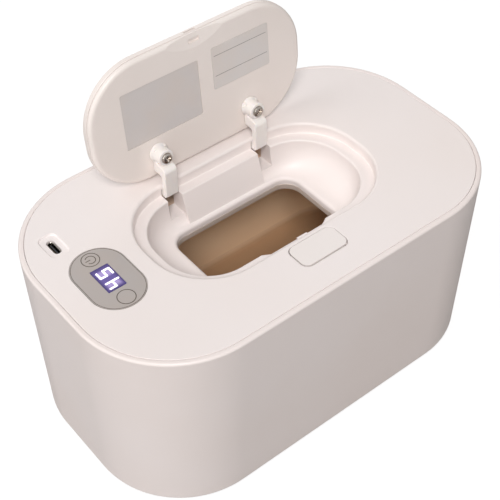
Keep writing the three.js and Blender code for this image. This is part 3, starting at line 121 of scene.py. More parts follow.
# A node tree that is being built
class Graph:
    def __init__(self, tree):
        self.tree = tree

    def node(self, kind, settings=None, sockets=None, output=0):
        made = self.tree.nodes.new(kind)
        for key, value in (settings or {}).items():
            setattr(made, key, value)
        for key, value in (sockets or {}).items():
            self.feed(made.inputs[key], value)
        return Wire(self, made.outputs[output])

    def feed(self, socket, value):
        if isinstance(value, Wire):
            self.tree.links.new(value.socket, socket)
        else:
            socket.default_value = value

    def blend(self, factor, first, second, mode="MIX"):
        return self.node("ShaderNodeMix", {"data_type": "RGBA", "blend_type": mode},
                         {0: factor, 6: first, 7: second}, output=2)

    def ramp(self, value, low, high, fromLow=0.0, fromHigh=1.0):
        return self.node("ShaderNodeMapRange", {"clamp": True},
                         {"Value": value, "From Min": fromLow, "From Max": fromHigh,
                          "To Min": low, "To Max": high})

    def bump(self, height, strength, distance):
        return self.node("ShaderNodeBump", {}, {"Height": height, "Strength": strength, "Distance": distance})


# A material under construction
class Finish(Graph):
    def __init__(self, name, roughness, **constants):
        self.material = bpy.data.materials.new(name)
        self.material.use_nodes = True
        super().__init__(self.material.node_tree)
        self.shader = self.tree.nodes["Principled BSDF"]
        self.colour = linear(*colours[name])
        self.material.diffuse_color = self.colour
        self.place = self.node("ShaderNodeTexCoord", output="Object")
        self.set("Base Color", self.colour)
        self.set("Roughness", roughness)
        for socket, value in constants.items():
            self.set(socket.replace("_", " "), value)

    def set(self, socket, value):
        self.feed(self.shader.inputs[socket], value)

    def axes(self):
        first = self.node("ShaderNodeSeparateXYZ", {}, {0: self.place})
        return [Wire(self, output) for output in first.socket.node.outputs]

    def noise(self, scale, detail=2.0, roughness=0.5, place=None):
        return self.node("ShaderNodeTexNoise", {"noise_dimensions": "3D"},
                         {"Vector": place or self.place, "Scale": scale, "Detail": detail,
                          "Roughness": roughness})

    def clouded(self, cloud, other, most=1, low=0.35, high=0.65):
        # base colour that turns into another one where the cloud is high
        self.set("Base Color", self.blend(self.ramp(cloud, 0, most, low, high), self.colour, other))

    def surfaced(self, relief, gloss, low, high, strength, distance):
        # roughness between two values and a bump from one relief, which is read from low to high
        self.set("Roughness", self.ramp(relief, *gloss, low, high))
        self.set("Normal", self.bump(relief, strength, distance))


def linear(red, green, blue):
    # a colour as a picture shows it, in the values that the shader takes
    def one(value):
        value = value / 255
        return value / 12.92 if value <= 0.04045 else ((value + 0.055) / 1.055) ** 2.4
    return one(red), one(green), one(blue), 1


def tinted(colour, red, green, blue):
    return tuple(min(1, part * share) for part, share in zip(colour, (red, green, blue))) + (1,)


# Colours as a picture shows them, by the name of their material
colours = {
    "shell_plastic": (241, 231, 228), "panel_plastic": (242, 234, 232), "lid_plastic": (241, 232, 227),
    # tank_plastic is lighter than the tank's own tan, as painted light, so that its shaded inside reads as a
    # mid brown
    "arm_plastic": (245, 240, 237), "button_plastic": (240, 233, 230), "tank_plastic": (252, 221, 186),
    # the hinge carrier's tan is painted shade: it stands in for the warm shade inside the hinge windows
    "inner_plastic": (186, 181, 176), "dark_plastic": (38, 38, 40), "carrier_painted_shade": (230, 202, 180),
    "ceramic_white": (230, 226, 218), "lead_red": (176, 40, 36), "lead_black": (34, 34, 34),
    "overlay_film": (178, 171, 168), "blank_plate_sheet": (213, 207, 205),
    "label_plate_sheet": (220, 215, 213), "print_ink": (88, 80, 72), "rule_ink": (128, 120, 120),
    "screw_plating": (168, 161, 154), "spring_wire": (166, 166, 164), "heater_sheet": (214, 200, 190),
    "gold_contact": (214, 172, 92), "foot_rubber": (120, 115, 110), "wrap_felt": (222, 216, 206),
    "board_lacquer": (34, 104, 62), "heating_film": (190, 128, 52), "display_glow": (26, 22, 48),
    "numeral_light": (236, 232, 240), "floor_paint": (150, 150, 150),
}


# Moulded plastic: fine spark texture, faint flow marks and a slightly uneven gloss
def mouldedPlastic(name, roughness, shade=0.03, grain=2600, grainDepth=0.5, warm=(1, 0.985, 0.97),
                   **constants):
    finish = Finish(name, roughness, **constants)
    flow = finish.noise(9, 3)
    speckle = finish.noise(grain, 2)
    finish.clouded(flow, tinted(finish.colour, *(part * (1 - shade) for part in warm)))
    finish.set("Roughness", finish.ramp(flow, roughness - 0.03, roughness + 0.04, 0.3, 0.7)
               + (speckle - 0.5) * 0.08)
    finish.set("Normal", finish.bump(speckle, grainDepth, 0.00004))
    return finish.material


# Tank: warm brown with a fine grain; its floor is painted darker and redder, as painted shade
tankLook = {"walls": (0.97, 0.955, 0.94), "floor": (0.5, 0.41, 0.34), "floorTop": 0.0095, "floorShadeFade": 0.0125,
            "ragged": 0.002, "grain": 1500}


def tankFinish(s):
    finish = Finish("tank_plastic", 0.5)
    height = finish.axes()[2]
    cloud = finish.noise(14, 4)
    grain = finish.noise(s["grain"], 3, 0.6)
    # painted shade: the floor and the foot of the walls are darkened and reddened, with a ragged edge
    low = finish.ramp(height + (cloud - 0.5) * s["ragged"], 1, 0, s["floorTop"], s["floorShadeFade"])
    walls = finish.blend(finish.ramp(cloud, 0, 1, 0.35, 0.65), finish.colour,
                         tinted(finish.colour, *s["walls"]))
    finish.set("Base Color", finish.blend(low, walls, tinted(finish.colour, *s["floor"])))
    finish.surfaced(grain, (0.44, 0.62), 0.3, 0.7, 0.6, 0.00006)
    return finish.material


# Sheet and wire metals: long brushed streaks, or drawing lines along a wire
def metalFinish(name, roughness, streak=(40, 2200, 2200), depth=0.3, metallic=1.0):
    finish = Finish(name, roughness, Metallic=metallic)
    stretched = finish.node("ShaderNodeMapping", {}, {"Vector": finish.place, "Scale": streak})
    lines = finish.noise(1, 3, 0.6, stretched)
    cloud = finish.noise(60, 3)
    finish.clouded(cloud, tinted(finish.colour, 0.82, 0.82, 0.82), 0.6, 0.4, 0.7)
    finish.surfaced(lines, (roughness - 0.06, roughness + 0.12), 0.3, 0.7, depth, 0.00002)
    return finish.material


def rubberFinish():
    finish = Finish("foot_rubber", 0.8)
    grain = finish.noise(900, 3, 0.7)
    dust = finish.noise(120, 4, 0.6)
    finish.clouded(dust, linear(158, 152, 146), 0.5, 0.45, 0.7)
    finish.surfaced(grain, (0.7, 0.92), 0.3, 0.7, 0.7, 0.0001)
    return finish.material


def feltFinish():
    finish = Finish("wrap_felt", 0.95)
    fibres = finish.node("ShaderNodeTexVoronoi", {"feature": "DISTANCE_TO_EDGE"},
                         {"Vector": finish.place, "Scale": 700.0})
    cloud = finish.noise(260, 5, 0.7)
    finish.clouded(cloud, linear(198, 190, 178))
    finish.set("Normal", finish.bump(fibres + cloud, 0.8, 0.0003))
    return finish.material


def boardFinish():
    finish = Finish("board_lacquer", 0.35)
    tracks = finish.node("ShaderNodeTexBrick", {"offset": 0.5},
                         {"Vector": finish.place, "Scale": 260.0, "Mortar Size": 0.06}, output="Fac")
    cloud = finish.noise(400, 2)
    finish.set("Base Color", finish.blend(tracks, finish.colour, linear(62, 140, 88)))
    finish.set("Roughness", finish.ramp(cloud, 0.28, 0.45))
    finish.set("Normal", finish.bump(tracks, 0.4, 0.00005))
    return finish.material


# Amber film: the etched element runs to and fro across it
def filmFinish():
    finish = Finish("heating_film", 0.28)
    x = finish.axes()[0]
    wave = finish.node("ShaderNodeMath", {"operation": "SINE"}, {0: x * 1570})
    track = finish.ramp(wave, 0, 1, 0.1, 0.35)
    finish.set("Base Color", finish.blend(track, finish.colour, linear(150, 96, 40)))
    finish.surfaced(track, (0.26, 0.4), 0, 1, 0.5, 0.00004)
    return finish.material


def sheetFinish(name, roughness, grain, **constants):
    # printed film and thin plates: an even satin with a fine grain and a faint cloud
    finish = Finish(name, roughness, **constants)
    cloud = finish.noise(60, 3)
    speckle = finish.noise(grain, 2)
    finish.clouded(cloud, tinted(finish.colour, 1.02, 0.99, 0.96))
    finish.surfaced(speckle, (roughness - 0.04, roughness + 0.08), 0, 1, 0.25, 0.00002)
    return finish.material


shellPlastic = mouldedPlastic("shell_plastic", 0.42)
panelPlastic = mouldedPlastic("panel_plastic", 0.42, shade=0.02)
lidPlastic = mouldedPlastic("lid_plastic", 0.38, shade=0.025)
armPlastic = mouldedPlastic("arm_plastic", 0.3, shade=0.015, warm=(1, 0.99, 0.98),
                            Subsurface_Weight=0.12, Subsurface_Radius=(0.002, 0.0015, 0.001))
buttonPlastic = mouldedPlastic("button_plastic", 0.36, shade=0.015)
innerPlastic = mouldedPlastic("inner_plastic", 0.55, grain=1800)
darkPlastic = mouldedPlastic("dark_plastic", 0.5, shade=0.15)
tankPlastic = tankFinish(tankLook)
screwMetal = metalFinish("screw_plating", 0.17, streak=(900, 900, 900), depth=0.15)
springWire = metalFinish("spring_wire", 0.3)
heaterMetal = metalFinish("heater_sheet", 0.5, metallic=0.25)
goldContact = metalFinish("gold_contact", 0.25)
footRubber = rubberFinish()
wrapFelt = feltFinish()
boardLacquer = boardFinish()
heaterFilm = filmFinish()
overlayFilm = sheetFinish("overlay_film", 0.34, 5200, Coat_Weight=0.15)
blankSheet = sheetFinish("blank_plate_sheet", 0.42, 4200)
labelSheet = sheetFinish("label_plate_sheet", 0.4, 4200)
printInk = sheetFinish("print_ink", 0.42, 6000)
ruleInk = sheetFinish("rule_ink", 0.42, 6000)
# hinge carrier: a tan that stands in for the warm shade seen through the hinge windows, painted shade
carrierPaintedShade = mouldedPlastic("carrier_painted_shade", 0.5, shade=0.1)
leadRed = mouldedPlastic("lead_red", 0.45, shade=0.1)
leadBlack = mouldedPlastic("lead_black", 0.45, shade=0.1)
ceramicWhite = mouldedPlastic("ceramic_white", 0.5, shade=0.05)
print("finishes mixed")

# Sizes of the body, in millimetres
body = {
    "length": 220, "depth": 132.5, "height": 101.9, "footProud": 0.8, "corner": 49.6, "taper": 2.26,
    "wall": 2.4, "rimWidth": 2.6, "rimRadius": 1.3, "rimBreak": 0.35, "bottomRadius": 1.5, "gap": 0.3,
}
topZ = body["footProud"] + body["height"]
cornerSteps = 22
past = 1  # how far a cutter runs past the face that it opens, and a block into the wall that it joins


def ring(x, y, r, z, cx=0.0, cy=0.0, steps=cornerSteps):
    # one rounded rectangle of points, counterclockwise from above
    points = []
    for quarter, (sideX, sideY) in enumerate(((1, 1), (-1, 1), (-1, -1), (1, -1))):
        for step in range(steps + 1):
            angle = (quarter + step / steps) * math.pi / 2
            points.append((cx + sideX * (x - r) + r * math.cos(angle),
                           cy + sideY * (y - r) + r * math.sin(angle), z))
    return points


def ringsOf(x, y, r, cx=0.0, cy=0.0, steps=cornerSteps):
    # the same rectangle, to be grown by a width and set at any height
    return lambda grow, z: ring(x + grow, y + grow, r + grow, z, cx, cy, steps)


def newMesh(name, points, faces):
    mesh = bpy.data.meshes.new(name)
    mesh.from_pydata([(x * mm, y * mm, z * mm) for x, y, z in points], [], faces)
    mesh.validate()
    mesh.update()
    made = bpy.data.objects.new(name, mesh)
    bpy.context.scene.collection.objects.link(made)
    return made


def outwards(made):
    # turns the faces out, whichever way the rings were given
    mesh = made.data
    mesh.calc_loop_triangles()
    volume = 0
    for triangle in mesh.loop_triangles:
        a, b, c = (mesh.vertices[i].co for i in triangle.vertices)
        volume += a.dot(b.cross(c))
    if volume < 0:
        mesh.flip_normals()
    return made


def sideFaces(rings, count, looped=False):
    # quads between rings that follow each other in the list of points
    faces = []
    for i in range(rings if looped else rings - 1):
        low, high = i * count, (i + 1) % rings * count
        for j in range(count):
            after = (j + 1) % count
            faces.append((low + j, low + after, high + after, high + j))
    return faces


def skin(name, rings, looped=False):
    count = len(rings[0])
    points = [point for loop in rings for point in loop]
    faces = sideFaces(len(rings), count, looped)
    if not looped:
        last = (len(rings) - 1) * count
        faces.append(tuple(reversed(range(count))))
        faces.append(tuple(range(last, last + count)))
    return outwards(newMesh(name, points, faces))


def prism(name, outline, low, high, axis="x"):
    # outline in the plane across an axis, pushed along it
    def point(side, a, b):
        return (side, a, b) if axis == "x" else (a, side, b)
    return skin(name, [[point(side, a, b) for a, b in outline] for side in (low, high)])


def box(name, low, high):
    return prism(name, [(low[1], low[2]), (high[1], low[2]), (high[1], high[2]), (low[1], high[2])],
                 low[0], high[0])


def boxAt(name, x, y, halfX, halfY, low, high):
    return box(name, (x - halfX, y - halfY, low), (x + halfX, y + halfY, high))


def spun(name, profile, x=0.0, y=0.0, sides=40):
    # profile of (radius, z) pairs that starts and ends on the axis, spun about a line along Z
    points, inner = [], profile[1:-1]
    for radius, z in inner:
        for side in range(sides):
            angle = side / sides * 2 * math.pi
            points.append((x + radius * math.cos(angle), y + radius * math.sin(angle), z))
    points += [(x, y, profile[0][1]), (x, y, profile[-1][1])]
    first, last = len(points) - 2, len(points) - 1
    faces = sideFaces(len(inner), sides)
    base = (len(inner) - 1) * sides
    for j in range(sides):
        after = (j + 1) % sides
        faces.append((first, after, j))
        faces.append((last, base + j, base + after))
    return outwards(newMesh(name, points, faces))


def rod(radius, low, high, x=0.0, y=0.0, sides=24):
    return spun("rod", [(0, low), (radius, low), (radius, high), (0, high)], x, y, sides)


def corners(x, y):
    return [(sideX * x, sideY * y) for sideY in (-1, 1) for sideX in (-1, 1)]


def middleOf(name):
    # middle of a CAD node in plan
    low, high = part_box(name)
    return (low[0] + high[0]) / 2 / mm, (low[1] + high[1]) / 2 / mm


def baked(made):
    # the object's mesh with its modifiers applied
    bpy.context.view_layer.update()
    done = made.evaluated_get(bpy.context.evaluated_depsgraph_get())
    mesh = bpy.data.meshes.new_from_object(done)
    made.modifiers.clear()
    old = made.data
    made.data = mesh
    bpy.data.meshes.remove(old)
    return made


def carve(made, *tools, operation="DIFFERENCE"):
    for tool in tools:
        cutter = made.modifiers.new("carve", "BOOLEAN")
        cutter.operation = operation
        cutter.solver = "EXACT"
        cutter.object = tool
        baked(made)
        bpy.data.objects.remove(tool)
    return made


def join(made, *others):
    return carve(made, *others, operation="UNION")


def bevelled(made, width, segments=3, angle=40):
    edge = made.modifiers.new("edge", "BEVEL")
    edge.width = width * mm
    edge.segments = segments
    edge.limit_method = "ANGLE"
    edge.angle_limit = math.radians(angle)
    return baked(made)


def smoothed(made, angle=35):
    mesh = made.data
    for face in mesh.polygons:
        face.use_smooth = True
    mesh.set_sharp_from_angle(angle=math.radians(angle))
    weighted = made.modifiers.new("weighted", "WEIGHTED_NORMAL")
    weighted.keep_sharp = True
    weighted.weight = 80
    return baked(made)


def gathered(name, parts):
    # several separate solids as one piece
    points, faces = [], []
    for part in parts:
        start = len(points)
        points += [tuple(vertex.co / mm) for vertex in part.data.vertices]
        faces += [tuple(start + i for i in face.vertices) for face in part.data.polygons]
        bpy.data.objects.remove(part)
    return newMesh(name, points, faces)


def dressed(made, material):
    made.data.materials.clear()
    made.data.materials.append(material)


def settle(made, rides, material, stands=(), angle=35):
    # last steps of every piece: shading, finish and the body that it moves with
    dressed(smoothed(made, angle), material)
    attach(made, rides)
    if stands:
        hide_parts(*stands)
    return made


def quarterTurn(steps):
    # the angles of a quarter round
    return [i / steps * math.pi / 2 for i in range(steps + 1)]


def quarter(at, start, z, radius, steps, across, up, wallFirst=False):
    # quarter round between a flat face at z and a wall at start: across and up are 1 or -1 and say to
    # which side of the wall the face lies, and to which side of the face the wall runs
    sections = []
    for t in quarterTurn(steps):
        out, along = 1 - math.sin(t), 1 - math.cos(t)
        if wallFirst:
            out, along = along, out
        sections.append(at(start + across * radius * out, z + up * radius * along))
    return sections


def pair(radius, z):
    return radius, z


def panelRing(inset, z):
    return ring(body["length"] / 2 - inset, body["depth"] / 2 - inset, body["corner"] - inset, z)


def shellRing(inset, z):
    return panelRing(inset + body["taper"] * (topZ - z) / body["height"], z)


# Outer shell with its soft rim, the shoulder that carries the panel and the seat for the tank's flange
shellSettings = {"shoulder": 2.5, "shoulderWidth": 2, "shoulderThick": 2, "seat": 31.5, "seatWidth": 2.9,
                 "seatThick": 1.5}


def buildShell(s):
    bottom, rim, wall = body["footProud"], body["rimWidth"], body["wall"]
    low, high, inner = body["bottomRadius"], body["rimRadius"], body["rimBreak"]
    shoulder, seat = rim + s["shoulderWidth"], wall + s["seatWidth"]
    shoulderFoot, seatFoot = s["shoulder"] + s["shoulderThick"], s["seat"] + s["seatThick"]
    inside = [(rim, s["shoulder"]), (shoulder, s["shoulder"]), (shoulder, shoulderFoot),
              (wall, shoulderFoot + shoulder - wall), (wall, s["seat"]), (seat, s["seat"]),
              (seat, seatFoot), (wall, seatFoot + s["seatWidth"])]
    return skin("shell_skin", [
        *quarter(shellRing, 0, bottom, low, 6, 1, 1),
        *quarter(shellRing, 0, topZ, high, 8, 1, -1, True),
        *quarter(shellRing, rim, topZ, inner, 3, -1, -1),
        *[shellRing(inset, topZ - depth) for inset, depth in inside],
        shellRing(wall, bottom),
    ], looped=True)


settle(buildShell(shellSettings), "base", shellPlastic, ["outer_shell"], 50)
print("shell built")

# Inner tank
tank = {"x": 98, "y": 52, "corner": 28, "wall": 1.8, "draft": 1, "fillet": 3, "lip": 1.2, "top": topZ - 29.2,
        "under": 7.0, "floor": 8.8, "flange": 2, "bossRadius": 3.6, "bore": 1.45, "bossX": 60, "bossY": 40,
        "bossFoot": 3.9, "bossSink": 0.9}


def tankRing(grow, z):
    draw = tank["draft"] * (tank["top"] - z) / (tank["top"] - tank["under"]) - grow
    return ring(tank["x"] - draw, tank["y"] - draw, tank["corner"] - draw, z)


def buildTank(s):
    fillet, lip, flangeZ = s["fillet"], s["lip"], s["top"] - s["flange"]
    edge = body["wall"] + body["gap"]
    made = skin("tank_skin", [
        *quarter(tankRing, s["wall"], s["under"], fillet, 5, -1, 1),
        tankRing(s["wall"], flangeZ), shellRing(edge, flangeZ), shellRing(edge, s["top"]),
        *quarter(tankRing, 0, s["top"], lip, 4, 1, -1),
        *quarter(tankRing, 0, s["floor"], fillet, 7, -1, 1, True),
    ])
    places, foot, under = corners(s["bossX"], s["bossY"]), s["bossFoot"], s["under"]
    join(made, *[rod(s["bossRadius"], foot, under + s["bossSink"], x, y, 40) for x, y in places])
    return carve(made, *[rod(s["bore"], foot - past, under, x, y) for x, y in places])


settle(buildTank(tank), "base", tankPlastic, ["inner_tank"])
print("tank built")

# Top panel with the lid recess, the bowl and the throat
recess = {
    "x": 61.1, "y": 33.2, "r": 29.9, "round": 1.5, "ledge": 6.0, "fillet": 0.6,
    "bowlX": 54.4, "bowlY": 27.2, "bowlR": 23.8, "bowlCy": 0.8, "bowlRound": 1.0, "wall": 2,
    "lip": 21.3, "lipRadius": 1.9, "throatX": 36.7, "throatY": 21.5, "throatR": 9, "throatCy": -1,
    "throat": 25, "thick": 2.2, "edge": 0.3, "seam": 0.14,
}
ledgeZ, lipZ, underZ = topZ - recess["ledge"], topZ - recess["lip"], topZ - recess["thick"]
recessRing = ringsOf(recess["x"], recess["y"], recess["r"])
bowlRing = ringsOf(recess["bowlX"], recess["bowlY"], recess["bowlR"], cy=recess["bowlCy"])
throatRing = ringsOf(recess["throatX"], recess["throatY"], recess["throatR"], cy=recess["throatCy"])


def flankRing(angle, thick):
    # between the bowl's rounded edge and the throat's lip, along a quarter of an ellipse
    across, down, lip = 1 - math.cos(angle), math.sin(angle), recess["lipRadius"]
    bowl = [recess[key] for key in ("bowlX", "bowlY", "bowlR", "bowlCy")]
    throat = [recess["throatX"] + lip, recess["throatY"] + lip, recess["throatR"] + lip, recess["throatCy"]]
    x, y, r, cy = (a + (b - a) * across for a, b in zip(bowl, throat))
    grow, upperZ = thick * math.cos(angle), ledgeZ - recess["bowlRound"]
    return ring(x + grow, y + grow, r + grow, upperZ + (lipZ - upperZ) * down - thick * down, cy=cy)


def recessSpace():
    return skin("recess_space", [
        recessRing(recess["round"], topZ + past),
        *quarter(recessRing, 0, topZ, recess["round"], 6, 1, -1),
        *quarter(recessRing, 0, ledgeZ, recess["fillet"], 4, -1, 1, True),
        *quarter(bowlRing, 0, ledgeZ, recess["bowlRound"], 5, 1, -1),
        *[flankRing(angle, 0) for angle in quarterTurn(18)[1:-1]],
        *quarter(throatRing, 0, lipZ, recess["lipRadius"], 7, 1, -1),
        throatRing(0, topZ - recess["throat"] - past),
    ])


def recessWalls():
    wall = recess["wall"]
    edge = body["rimWidth"] + recess["seam"]
    return skin("panel_skin", [
        *quarter(panelRing, edge, topZ, recess["edge"], 3, 1, -1),
        panelRing(edge, underZ),
        recessRing(wall, underZ), recessRing(wall, ledgeZ - wall), bowlRing(wall, ledgeZ - wall),
        *[flankRing(angle, wall) for angle in quarterTurn(10)[1:-1]],
        throatRing(wall, lipZ - wall), throatRing(wall, topZ - recess["throat"]),
    ])


channel = {"centre": 27, "half": 4.05, "front": 15, "floor": 17.0, "back": 36.2, "wall": 2}
pocket = {"half": 19, "floor": 9.6, "back": -15, "front": 1.3, "round": 1.0, "fillet": 0.8}
groove = {"half": 5.1, "front": -35.95, "back": -32.9, "skin": 1.2, "deeper": 3}
blockOutline = [(30, 96.7), (28.4, 96.7), (28.15, 96.62), (27.92, 96.42), (27.8, 96.1), (22.4, lipZ),
                (23.7, 80.2), (30, 95.1)]
button = {"x": 12.75, "y": 6.75, "r": 3.5, "cy": -42.75, "side": 0.45, "rear": 0.35, "front": 0.7,
          "round": 0.55, "flange": 1.2, "flangeSide": 1.4, "flangeFront": 2, "stem": 2.6, "stemDepth": 6,
          "legX": 9, "legHalf": 1.5, "legY": -43.5, "legThick": 0.8, "footTop": 7.4, "footTip": 10.7,
          "rooted": 0.6}
overlay = {"cx": -83, "x": 13.1, "y": 19.75, "r": 13, "thick": 0.8, "gap": 0.2, "edge": 0.18,
           "windowX": 4.75, "windowY": 7.75, "windowR": 0.4, "holeR": 0.5, "sink": 0.03, "windowEdge": 0.08}
socket = {"cx": -90.8, "cy": 31.6, "x": 1.63, "y": 4.47, "gap": 0.3, "dishX": 4.65, "dishY": 7.65,
          "dishR": 3.0, "dish": 1.0, "fillet": 0.7, "edge": 0.3, "wall": 0.35, "foot": 8.8, "mouth": 1.6,
          "floor": 1.0, "lip": 0.1}


def softHole(x, y, r, low, cx=0.0, cy=0.0, edge=0.3, steps=8):
    # cutter for a hole in the top face whose upper edge is slightly rounded
    at = ringsOf(x, y, r, cx, cy, steps)
    return skin("hole", [at(0, low), *quarter(at, 0, topZ, edge, 3, 1, -1)[::-1], at(edge, topZ + past)])


def socketDish(s):
    at = ringsOf(s["dishX"], s["dishY"], s["dishR"], s["cx"], s["cy"], 10)
    low = quarter(at, 0, topZ - s["dish"], s["fillet"], 5, -1, 1, True)[::-1]
    high = quarter(at, 0, topZ, s["edge"], 3, 1, -1)[::-1]
    return skin("socket_dish", [*low, *high, at(s["edge"], topZ + past)])


def fingerNotch(s):
    # shallow arc in the front of the ledge that ends on the bowl's edge
    front = s["front"] - recess["y"]
    sagitta = recess["bowlCy"] - recess["bowlY"] - front
    radius = (s["half"] ** 2 + sagitta ** 2) / (2 * sagitta)

    def at(grow, z):
        half = s["half"] + grow
        across = [half * (i / 20 - 1) for i in range(41)]
        points = [(x, front + radius - math.sqrt((radius + grow) ** 2 - x * x), z) for x in across]
        return points + [(half, s["back"], z), (-half, s["back"], z)]
    low = quarter(at, 0, topZ - s["floor"], s["fillet"], 4, -1, 1, True)[::-1]
    high = quarter(at, 0, ledgeZ, s["round"], 5, 1, -1)[::-1]
    return skin("finger_notch", [*low, *high, at(s["round"], ledgeZ + past)])


def buildPanel():
    made = recessWalls()
    c, p, g, b, o = channel, pocket, groove, button, overlay
    wall, channelZ, pocketZ = c["wall"], topZ - c["floor"], topZ - p["floor"]
    spans = [(side * c["centre"] - c["half"], side * c["centre"] + c["half"]) for side in (-1, 1)]
    join(made, *[box("channel_wall", (low - wall, c["front"], channelZ - wall),
                     (high + wall, recess["y"] + wall, ledgeZ - past)) for low, high in spans],
         box("latch_wall", (-p["half"] - wall, -recess["y"] - wall, pocketZ - wall),
             (p["half"] + wall, p["back"], ledgeZ - past)))
    carve(made, recessSpace())
    inner = c["centre"] - c["half"]
    join(made, prism("hinge_block", blockOutline, -inner, inner))
    tools = []
    for low, high in spans:
        tools.append(box("channel", (low, c["front"], channelZ), (high, recess["y"], ledgeZ + past)))
        tools.append(box("window", (low, recess["y"] - past, channelZ), (high, c["back"], underZ)))
    tools.append(fingerNotch(p))
    tools.append(box("groove", (-g["half"], g["front"], pocketZ - g["deeper"]),
                     (g["half"], g["back"], topZ - g["skin"])))
    tools.append(softHole(b["x"] + b["side"], b["y"] + (b["rear"] + b["front"]) / 2, b["r"] + b["side"],
                          underZ - past, cy=b["cy"] + (b["rear"] - b["front"]) / 2, edge=0.4, steps=10))
    tools.append(softHole(o["x"] + o["gap"], o["y"] + o["gap"], o["r"] + o["gap"],
                          topZ - o["thick"] - o["gap"], cx=o["cx"], edge=0.15, steps=24))
    tools.append(softHole(o["windowX"], o["windowY"], o["holeR"], underZ - past, cx=o["cx"], steps=4))
    tools.append(socketDish(socket))
    hole = ringsOf(socket["x"], socket["y"], socket["x"], socket["cx"], socket["cy"], 10)
    tools.append(skin("socket_hole", [hole(socket["gap"], z) for z in (underZ - past, topZ + past)]))
    return carve(made, *tools)


settle(buildPanel(), "cover", panelPlastic, ["top_panel"])
print("top panel carved")

# Lid, drawn closed and then swung open about the pin
hinge = {"y": 38.4, "z": 98.2, "open": 95.6}
lid = {"x": 60.3, "y": 32.3, "r": 29, "thick": 5.2, "plate": 1.2, "rim": 2.8, "rimWall": 1.4, "round": 0.5,
       "break": 0.18, "fillet": 0.3, "postX": 27, "postY": 19, "post": 2.8, "postFoot": 3.3, "bore": 1.45,
       "boreTop": 1.6, "slotHalf": 3.2, "slotLow": 2.45, "slotHigh": 1.25}


def opened(made):
    pin = Matrix.Translation(Vector((0, hinge["y"], hinge["z"])) * mm)
    made.data.transform(pin @ Matrix.Rotation(-math.radians(hinge["open"]), 4, "X") @ pin.inverted())
    made.data.update()
    return made


def lidRing(grow, depth):
    return ring(lid["x"] + grow, lid["y"] + grow, lid["r"] + grow, topZ - depth, steps=30)


def buildLidShell(s):
    rim, wall, edge, foot = s["rim"], s["rimWall"], s["break"], topZ - s["postFoot"]
    made = skin("lid_skin", [
        *quarter(lidRing, 0, 0, s["round"], 6, -1, 1),
        lidRing(0, rim - edge), lidRing(-edge, rim), lidRing(edge - wall, rim), lidRing(-wall, rim - edge),
        *quarter(lidRing, -wall, s["plate"], s["fillet"], 3, -1, 1, True),
    ])
    posts = (-s["postX"], s["postX"])
    join(made, *[rod(s["post"], foot, topZ - s["plate"] / 2, x, s["postY"], 32) for x in posts])
    return carve(made, *[rod(s["bore"], foot - past, topZ - s["boreTop"], x, s["postY"]) for x in posts],
                 box("catch_slot", (-s["slotHalf"], -s["y"] - past, topZ - s["slotLow"]),
                     (s["slotHalf"], -s["y"] + wall + past, topZ - s["slotHigh"])))


settle(opened(buildLidShell(lid)), "lid", lidPlastic, ["lid_shell"])
print("lid shell built")

# Liner with its rounded edge, the sloping scoop and its slot, and the two plates let into it
liner = {"seat": 3.1, "middle": 3.3, "rib": 1.6, "ribInset": 1.8, "ribWidth": 1.2, "side": 0.25, "round": 2.5,
         "power": 2.5, "chord": 18.5, "reach": 7, "foot": 0.8, "deep": 1.3, "soft": 0.25, "slotHalf": 3.1,
         "slotFront": 2.8, "slotBack": 4.7, "slotDeep": 1.75, "hole": 3.1, "sharp": 0.02,
         "softShare": 0.3}
plates = {"corner": 0.8, "leaf": 0.4, "gap": 0.12, "edge": 0.12, "edgeShare": 0.3}
rules = {"places": (0.21, 0.69), "length": 0.93, "half": 0.12, "sunk": 0.02, "proud": 0.01}
blankPlate = {"x": -20.95, "y": -3.55, "halfX": 21.25, "halfY": 14.53, "face": 4.95}
labelPlate = {"x": 24.72, "y": -9.64, "halfX": 16.46, "halfY": 11.03, "face": 5.35}


def plateRing(plate, grow, depth):
    return ring(plate["halfX"] + grow, plate["halfY"] + grow, plates["corner"] + grow, topZ - depth,
                plate["x"], plate["y"], 6)


def buildLiner(s):
    ribInner = s["ribInset"] + s["ribWidth"]
    rings = [lidRing(-ribInner, s["middle"]), lidRing(-ribInner, s["rib"]), lidRing(-s["ribInset"], s["rib"]),
             lidRing(-s["ribInset"], s["seat"]), lidRing(-s["side"], s["seat"])]
    for t in quarterTurn(12)[1:]:
        down = math.sin(t)
        inwards = 1 - max(0, 1 - down ** s["power"]) ** (1 / s["power"])
        rings.append(lidRing(-s["side"] - s["round"] * inwards,
                             s["seat"] + (lid["thick"] - s["seat"]) * down))
    made = skin("liner_skin", rings)
    radius = (s["chord"] ** 2 + s["reach"] ** 2) / (2 * s["reach"])
    foot, face = radius - s["reach"] + s["foot"], topZ - lid["thick"]
    soft, deep, above = s["soft"], face + s["deep"], face - past
    tools = [spun("scoop", [(0, above), (radius + soft, above), (radius + soft, face - s["sharp"]),
                            (radius, face + soft * s["softShare"]), (foot, deep), (0, deep)],
                  0, s["reach"] - lid["y"] - radius, 256)]
    tools.append(box("scoop_slot", (-s["slotHalf"], s["slotFront"] - lid["y"], above),
                     (s["slotHalf"], s["slotBack"] - lid["y"], face + s["slotDeep"])))
    tools += [rod(s["hole"], above, topZ, side * lid["postX"], lid["postY"], 40) for side in (-1, 1)]
    for plate in (blankPlate, labelPlate):
        top = plate["face"] - plates["leaf"] - plates["gap"]
        tools.append(skin("plate_pocket", [plateRing(plate, plates["gap"], depth)
                                           for depth in (lid["thick"] + past, top)]))
    return carve(made, *tools)


def buildPlate(name, plate):
    edge, share, face = plates["edge"], plates["edgeShare"], plate["face"]
    return skin(name, [plateRing(plate, -edge, face), plateRing(plate, -edge * share, face - edge * share),
                       plateRing(plate, 0, face - edge), plateRing(plate, 0, face - plates["leaf"])])


